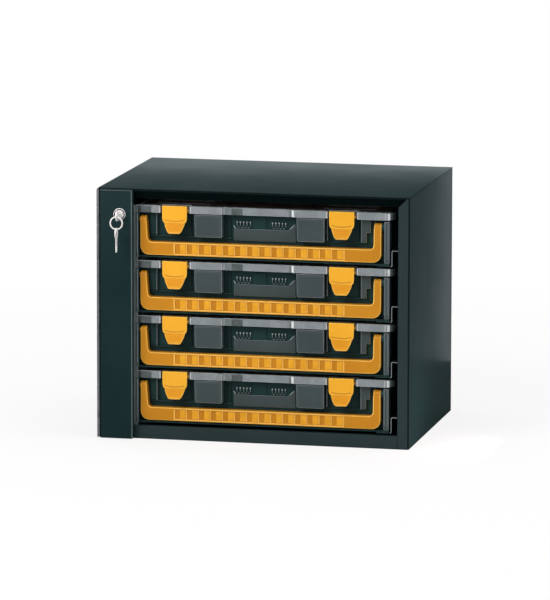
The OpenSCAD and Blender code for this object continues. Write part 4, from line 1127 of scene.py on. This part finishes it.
# %% Lid
NOTCH, NOTCH_D, STEP = 25.3, 14.5, 2.8
STEP_LEFT, STEP_RIGHT = [(148.6, 0.0), (151.8, STEP)], [(268.0, STEP), (271.6, 0.0)]
left_notch, right_notch = ([(latch - NOTCH, 0.0), (latch - NOTCH, NOTCH_D), (latch + NOTCH, NOTCH_D),
                            (latch + NOTCH, 0.0)] for latch in LATCHES)
plain_outline = ([(0.0, 0.0)] + left_notch + STEP_LEFT + STEP_RIGHT + right_notch
                 + [(CASE_W, 0.0), (CASE_W, CASE_D), (0.0, CASE_D)])
zoned_outline = ([(x, 0.0) for x in (0.0, 4.6, 9.0, 27.4)] + left_notch
                 + STEP_LEFT + [(x, STEP) for x in (165.0, 184.0, 263.4)] + STEP_RIGHT + right_notch
                 + [(x, 0.0) for x in (427.4, 428.2, 432.4)]
                 + [(CASE_W, 2.2), (CASE_W, CASE_D), (0.0, CASE_D)])
lid_outline = softened(zoned_outline, 1.6, 4)


def within(x, *spans):
    return any(low < x < high for low, high in spans)


rim_wall = panel([lid_outline, outline_inset(plain_outline, 2.4)], "z", BASE_H + 0.8, CASE_H - 0.5, 0.55, 2,
                 narrow=1.6, rim_mark=0.45)
SHADED, HALF_SHADED = ((9.0, 26.0), (165.6, 183.4)), ((-1.0, 4.6), (147.8, 164.8), (183.8, 186.0), (262.5, 266.5))
# Tones painted along the rim: shade on some zones, the notches' back faces, the upper bevel and the right
# side, half shade on others, deep shade near the left corner, and a glowing painted highlight on the right
# corner and the right step.
for zone, test in (
        ("lid_shade", lambda at, normal: at.y < 16 and (within(at.x, *SHADED) or at.y > 10)),
        ("lid_half_shade", lambda at, normal: at.y < 10 and within(at.x, *HALF_SHADED)),
        ("lid_deep_shade", lambda at, normal: at.y < 8 and 4.6 < at.x < 9.0),
        ("lid_shade", lambda at, normal: at.y < 8 and 0.25 < normal.z < 0.95),
        ("lid_painted_glow", lambda at, normal: (at.x > 432 and at.y < 4 and 0.3 < normal.x < 0.95
                                         and abs(normal.z) < 0.3)),
        ("lid_painted_glow", lambda at, normal: 268.4 < at.x < 271.4 and at.y < 4 and abs(normal.z) < 0.3),
        ("lid_shade", lambda at, normal: at.x > 430 and at.y > 4 and normal.x > 0.9)):
    dress(rim_wall, zone, test)
corner_lug = panel([[(432.6, 0.5), (435.4, 2.7), (439.2, 5.8), (443.8, 10.4), (443.8, 15.0), (432.6, 15.0)]],
                   "z", 76.5, 87.9, 0.4, 1, rim_mark=0.3)
# The lug's front is painted as a glowing highlight and its rear part in deep shade.
dress(corner_lug, "lid_painted_glow", lambda at, normal: at.x < 435.4 and normal.y < -0.3 and abs(normal.z) < 0.5)
dress(corner_lug, "lid_deep_shade", lambda at, normal: at.x > 439.4)
left_lug = panel([rectangle(-1.0, 0.0, 2.0, 8.0)], "z", 76.4, 87.9, 0.4, 1, rim_mark=0.3)
# The left lug's front is painted in the lighter half shade.
dress(left_lug, "lid_half_shade", lambda at, normal: at.y < 4)
rim_top = panel([outline_inset(lid_outline, 0.7), outline_inset(plain_outline, 6.5)], "z", CASE_H - 2.4,
                CASE_H, 0.5, 2, rim_mark=0.35)
dress(rim_top, "lid_shade", lambda at, normal: normal.z > 0.9)
print("rim with", len(lid_outline), "points")

# %% Window, ribs and ears of the lid
pane = panel([outline_inset(plain_outline, 5.8)], "z", CASE_H - 3.2, CASE_H - 1.4, 0.3, 1)
cross_ribs = copies(block((0, 0, 0), (1.6, 300.0, 4.0), 0.4, 1), (144.1, 24.0, 82.2), "lid_window", 2,
                    (144.6, 0, 0))
long_rib = block((8.0, 180.5, 82.2), (426.0, 182.1, 86.2), 0.4, 1)
ridges = copies(block((0, 0, 0), (90.0, 2.0, 1.1), 0.5, 2), (30.0, 40.0, CASE_H - 1.5), "lid_window", 2,
                (284.0, 0, 0), 9, (0, 32.0, 0))
ears = [block((x - 1.9, 3.4, BASE_H + 0.9), (x + 1.9, NOTCH_D + 1, CASE_H - 2.4), 0.4, 1)
        for x in (latch + side * 24.3 for latch in LATCHES for side in (-1, 1))]
for_each_case("lid", "case", "case_lid", {
    "lid_rim": [rim_wall, rim_top] + rear_knuckles(1, CASE_D - 0.4, BASE_H + 0.4, BASE_H + 4.0),
    "lid_shade": ears + [corner_lug, left_lug],
    "lid_window": [pane, cross_ribs, long_rib, ridges],
})
for_each_case("lid_rod", "case", "lid_hinge_rod",
              {"zinc_plate": [rod("x", REAR_HINGE, 1.5, LINK / 2, 410.5, 16, 0.3)]})

# %% [markdown]
# ## Cups
#
# A cup is lofted from rounded rectangles: up the outside, over the rim and down the inside to the floor,
# with a small radius at the bottom. The tree of rows sets six of them in each case.

# %% Cups
CUP_H, CUP_WALL, CUP_CORNER, CUP_GAP = 72.4, 1.6, 7.0, 0.8


def cup(width, depth):
    wall, brim = CUP_WALL, CUP_H - 0.5
    levels = [(3.0, 0.0, 0), (1.2, 0.5, 0), (0.3, 1.6, 0), (0.0, 3.4, 0), (0.0, brim, 0), (0.4, CUP_H, 1),
              (wall - 0.4, CUP_H, 1), (wall, brim, 1), (wall, wall + 4.0, 0), (wall + 0.9, wall + 1.6, 0),
              (wall + 3.2, wall + 0.2, 0), (wall + 6.0, wall, 0)]
    rings = []
    for inset, z, _ in levels:
        outline = round_rectangle(inset, inset, width - inset, depth - inset, max(1.5, CUP_CORNER - inset), 5)
        rings.append([(x, y, z) for x, y in outline])
    return lofted(rings, lambda row, side: float(levels[row + 1][2]))


cup_w, cup_d = (CASE_W - 2 * WALL - 4 * CUP_GAP) / 3, (CASE_D - RECESS - 2 * WALL - 3 * CUP_GAP) / 2
six = copies(cup(cup_w, cup_d), (WALL + CUP_GAP, RECESS + WALL + CUP_GAP, 2.4), "cup_plastic", 3,
             (cup_w + CUP_GAP, 0, 0), 2, (0, cup_d + CUP_GAP, 0))
for_each_case("cups_inside", "case", "cups", {"cup_plastic": [six]})

# %% [markdown]
# ## The folding handle
#
# The handle is built in layers like a sandwich. The front layer has a long window, the core closes it, and
# raised pads stand in it: that makes the row of sunk and raised fields between two thin rails. Its rear is
# ribbed. The arm ends are rounded about the pivot so that they can turn in front of the case.

# %% Handle
BAR_Z, BAR_H, ARM, ARM_TOP = 4.4, 22.2, 12.8, 62.0
x0, x1, bar_top = 8.1, 8.1 + 412.4, BAR_Z + BAR_H
INSIDE, OUTSIDE = 7.0, 15.0
handle_outline = ([(x1, ARM_TOP), (x1 - ARM, ARM_TOP)]
                  + arc(x1 - ARM - INSIDE, bar_top + INSIDE, INSIDE, 0, -90, 8)
                  + arc(x0 + ARM + INSIDE, bar_top + INSIDE, INSIDE, 270, 180, 8)
                  + [(x0 + ARM, ARM_TOP), (x0, ARM_TOP)]
                  + arc(x0 + OUTSIDE, BAR_Z + OUTSIDE, OUTSIDE, 180, 270, 14)
                  + arc(x1 - OUTSIDE, BAR_Z + OUTSIDE, OUTSIDE, 270, 360, 14))


def slimmed(shape):
    """Narrows both arms towards their tops by moving their inner side outwards, the left one more."""
    for vert in shape.verts:
        lift = max(0.0, vert.co.z - 36.0) / 35.5 * (2.7 if vert.co.x < MIDDLE else 0.6)
        if vert.co.x < x0 + ARM + 0.5:
            vert.co.x -= lift * max(0.0, vert.co.x - x0) / ARM
        elif vert.co.x > x1 - ARM - 0.5:
            vert.co.x += lift * max(0.0, x1 - vert.co.x) / ARM
    return shape


def arm_end(left):
    side = [(a, PIVOT[1] + 0.86 * (b - PIVOT[1])) for a, b in arc(*PIVOT, 7.47, 180, 0, 20)]
    return slimmed(panel([[(0.03, 50.0), *side, (14.97, 50.0)]], "x", left + 0.03, left + ARM - 0.03, 1.6, 3))


FIELDS, GRIP, GRIP_X = 14, 290.2, 67.0
PAD_PITCH = GRIP / FIELDS
grip_window = round_rectangle(GRIP_X, BAR_Z + 3.2, GRIP_X + GRIP, bar_top - 3.0, 0.6, 2)
rear_window = round_rectangle(x0 + 16, BAR_Z + 3.4, x1 - 16, bar_top - 3.4, 2.0, 3)
layers = [slimmed(panel(outlines, "y", start, end, rim, 2))
          for outlines, start, end, rim in (([handle_outline, grip_window], 0.0, 4.2, 1.5),
                                            ([handle_outline], 2.1, 11.5, 0.9),
                                            ([handle_outline, rear_window], 9.6, 15.0, 0.8))]
for layer in layers:
    # The right side of the right arm takes a light, slightly glowing tone: painted light on a shaded side.
    dress(layer, "handle_side", lambda at, normal: at.x > x1 - 14.0 and normal.x > 0.5 and at.z < 70.0)
# The rounded lower edge at the handle's left corner takes the brightest tone: a painted highlight.
dress(layers[0], "grip_rib_highlight",
      lambda at, normal: at.x < x0 + 7.0 and at.z < BAR_Z + 10.0 and normal.z < -0.1 and normal.y < -0.1)
# The raised pads are painted lighter than the sunk fields between them: painted light.
pads = copies(block((0, 0, 0), (PAD_PITCH * 0.48, 2.4, BAR_H - 7.0), 0.55, 2),
              (GRIP_X + PAD_PITCH * 0.46, 0.75, BAR_Z + 3.7), "grip_pads_painted_light", FIELDS, (PAD_PITCH, 0, 0))
# The splits between the pads are brighter still: a painted highlight line.
splits = copies(block((-0.8, 0, 0), (0.8, 2.4, BAR_H - 6.4), 0.45, 1), (GRIP_X, 0.25, BAR_Z + 3.3),
                "grip_rib_highlight", FIELDS + 1, (PAD_PITCH, 0, 0))
back_ribs = copies(block((-0.9, 0, 0), (0.9, 4.2, BAR_H - 6.0), 0.3, 1), (x0 + 30, 10.6, BAR_Z + 3.0),
                   "handle_amber", 24, (15.16, 0, 0))
pins = [rod("x", PIVOT, 3.0, start, end, 28, 0.4) for start, end in ((1.1, x0 + 1), (x1 - 1, 428.7))]
washers = [turned([(3.0, a), (5.6, a), (5.9, (a + b) / 2), (5.6, b), (3.0, b)], "x", PIVOT, 28, closed=True)
           for a, b in ((x0 - 0.5, x0 + 0.5), (x1 - 0.5, x1 + 0.3))]
for_each_case("handle_bar", "handle", "handle", {
    "handle_amber": layers + [arm_end(x0), arm_end(x1 - ARM), back_ribs] + pins + washers,
    "grip_pads_painted_light": [pads],
    "grip_rib_highlight": [splits],
})

# %% [markdown]
# ## Latches
#
# A latch has a flat plate with a step, a tapered pull with small ridges for the finger, and behind them the
# hub that turns on two pins in the lid and the hook that grips under the case's ledge.

# %% Latches
LATCH_W, TIP_W, PULL_Z, TIP_Z, REACH = 42.2, 15.6, 59.6, 41.9, 4.2
LATCH_AXIS = (5.5, 80.5)


def leaning(shape):
    """Brings the pull forward towards its tip."""
    for vert in shape.verts:
        if vert.co.z < PULL_Z:
            vert.co.y -= REACH * (PULL_Z - vert.co.z) / (PULL_Z - TIP_Z)
    return shape


def mirrored(u, half):
    """An outline from its left half, given as distances from the middle u and heights."""
    return [[(u - a, b) for a, b in half] + [(u + a, b) for a, b in reversed(half)]]


def latch_shapes(u):
    h, t = LATCH_W / 2, TIP_W / 2
    plate_half = [(h, CASE_H - 0.2), (h, 68.0), (h - 0.5, 64.6), (h - 1.6, 61.6), (h - 3.4, PULL_Z + 0.2)]
    plate = panel(mirrored(u, plate_half), "y", -1.5, 2.3, 0.8, 2)
    # The pull is drawn in the darker copy of the latch colour: painted shade on its downward slope.
    pull_half = [(17.6, PULL_Z + 2), (17.6, PULL_Z - 0.6), (16.9, 56.4), (15.7, 53.0), (14.3, 49.6),
                 (12.6, 46.4), (10.9, 43.6), (9.6, 42.4), (t, TIP_Z)]
    pull = leaning(panel(mirrored(u, pull_half), "y", -0.75, 2.3, 1.0, 2))
    # The step under the plate is a thin band in the darker handle colour: a painted shade line.
    smile = [(17.2 * i / 8, 61.9 + 2.4 * (i / 8) ** 2) for i in range(-8, 9)]
    step = panel([[(u + a, b) for a, b in smile] + [(u + a, b + 2.0) for a, b in reversed(smile)]],
                 "y", -1.85, -0.9, 0.25, 1)
    lip = prism([(-0.7, 0.0), (-1.45, 0.6), (-1.45, 1.6), (-0.7, 2.6), (0.5, 2.6), (0.5, 0.0)],
                "x", u - t + 0.6, u + t - 0.6, 0.25, 1)
    bmesh.ops.translate(lip, vec=(0, 0, TIP_Z + 0.6), verts=lip.verts)
    ridge = prism([(0.0, 0.0), (-0.45, 0.5), (0.0, 1.0), (0.6, 1.0), (0.6, 0.0)], "x", -11.0, 11.0, 0.0)
    slope = REACH / (PULL_Z - TIP_Z)
    ridges = copies(ridge, (u, -0.72 - slope * (PULL_Z - TIP_Z - 7.5), TIP_Z + 7.0), "latch_pull", 3,
                    (0, 3.1 * slope, 3.1))
    hub = [rod("x", LATCH_AXIS, 4.15, u - h + 0.02, u + h - 0.02, 28, 0.5),
           rod("x", LATCH_AXIS, 2.0, u - h - 3.3, u + h + 3.3, 20, 0.3)]
    saddle = block((u - h + 0.1, 2.0, 76.3), (u + h - 0.1, 5.5, CASE_H - 0.3), 0.5, 2)
    hook = prism([(2.2, 46.7), (8.4, 46.7), (9.0, 47.6), (9.0, 49.6), (2.2, 49.6)], "x", u - 8, u + 8, 0.3, 1)
    web = [(2.2, 44.0), (4.6, 46.8), (4.6, 49.6), (3.4, 76.5), (2.2, 76.5)]
    webs = [prism(web, "x", x - 0.8, x + 0.8, 0.2, 1) for x in (u - 7.2, u + 7.2)]
    return {"latch_yellow": [plate, saddle] + hub, "handle_amber": [step],
            "latch_pull": [pull, leaning(lip), ridges, hook] + webs}


for side, place in zip(("left", "right"), LATCHES):
    latch = f"latch_{side}"
    for_each_case(latch + "_piece", latch, latch, latch_shapes(place - 0.7))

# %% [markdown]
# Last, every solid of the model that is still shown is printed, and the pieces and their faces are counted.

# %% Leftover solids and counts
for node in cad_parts.values():
    if not node.hide_render:
        print("still the model's own solid:", node.name)
shown_meshes = [o for o in bpy.data.objects if o.type == "MESH" and not o.hide_render]
print(len(finished), "pieces,", sum(len(o.data.polygons) for o in shown_meshes), "faces")
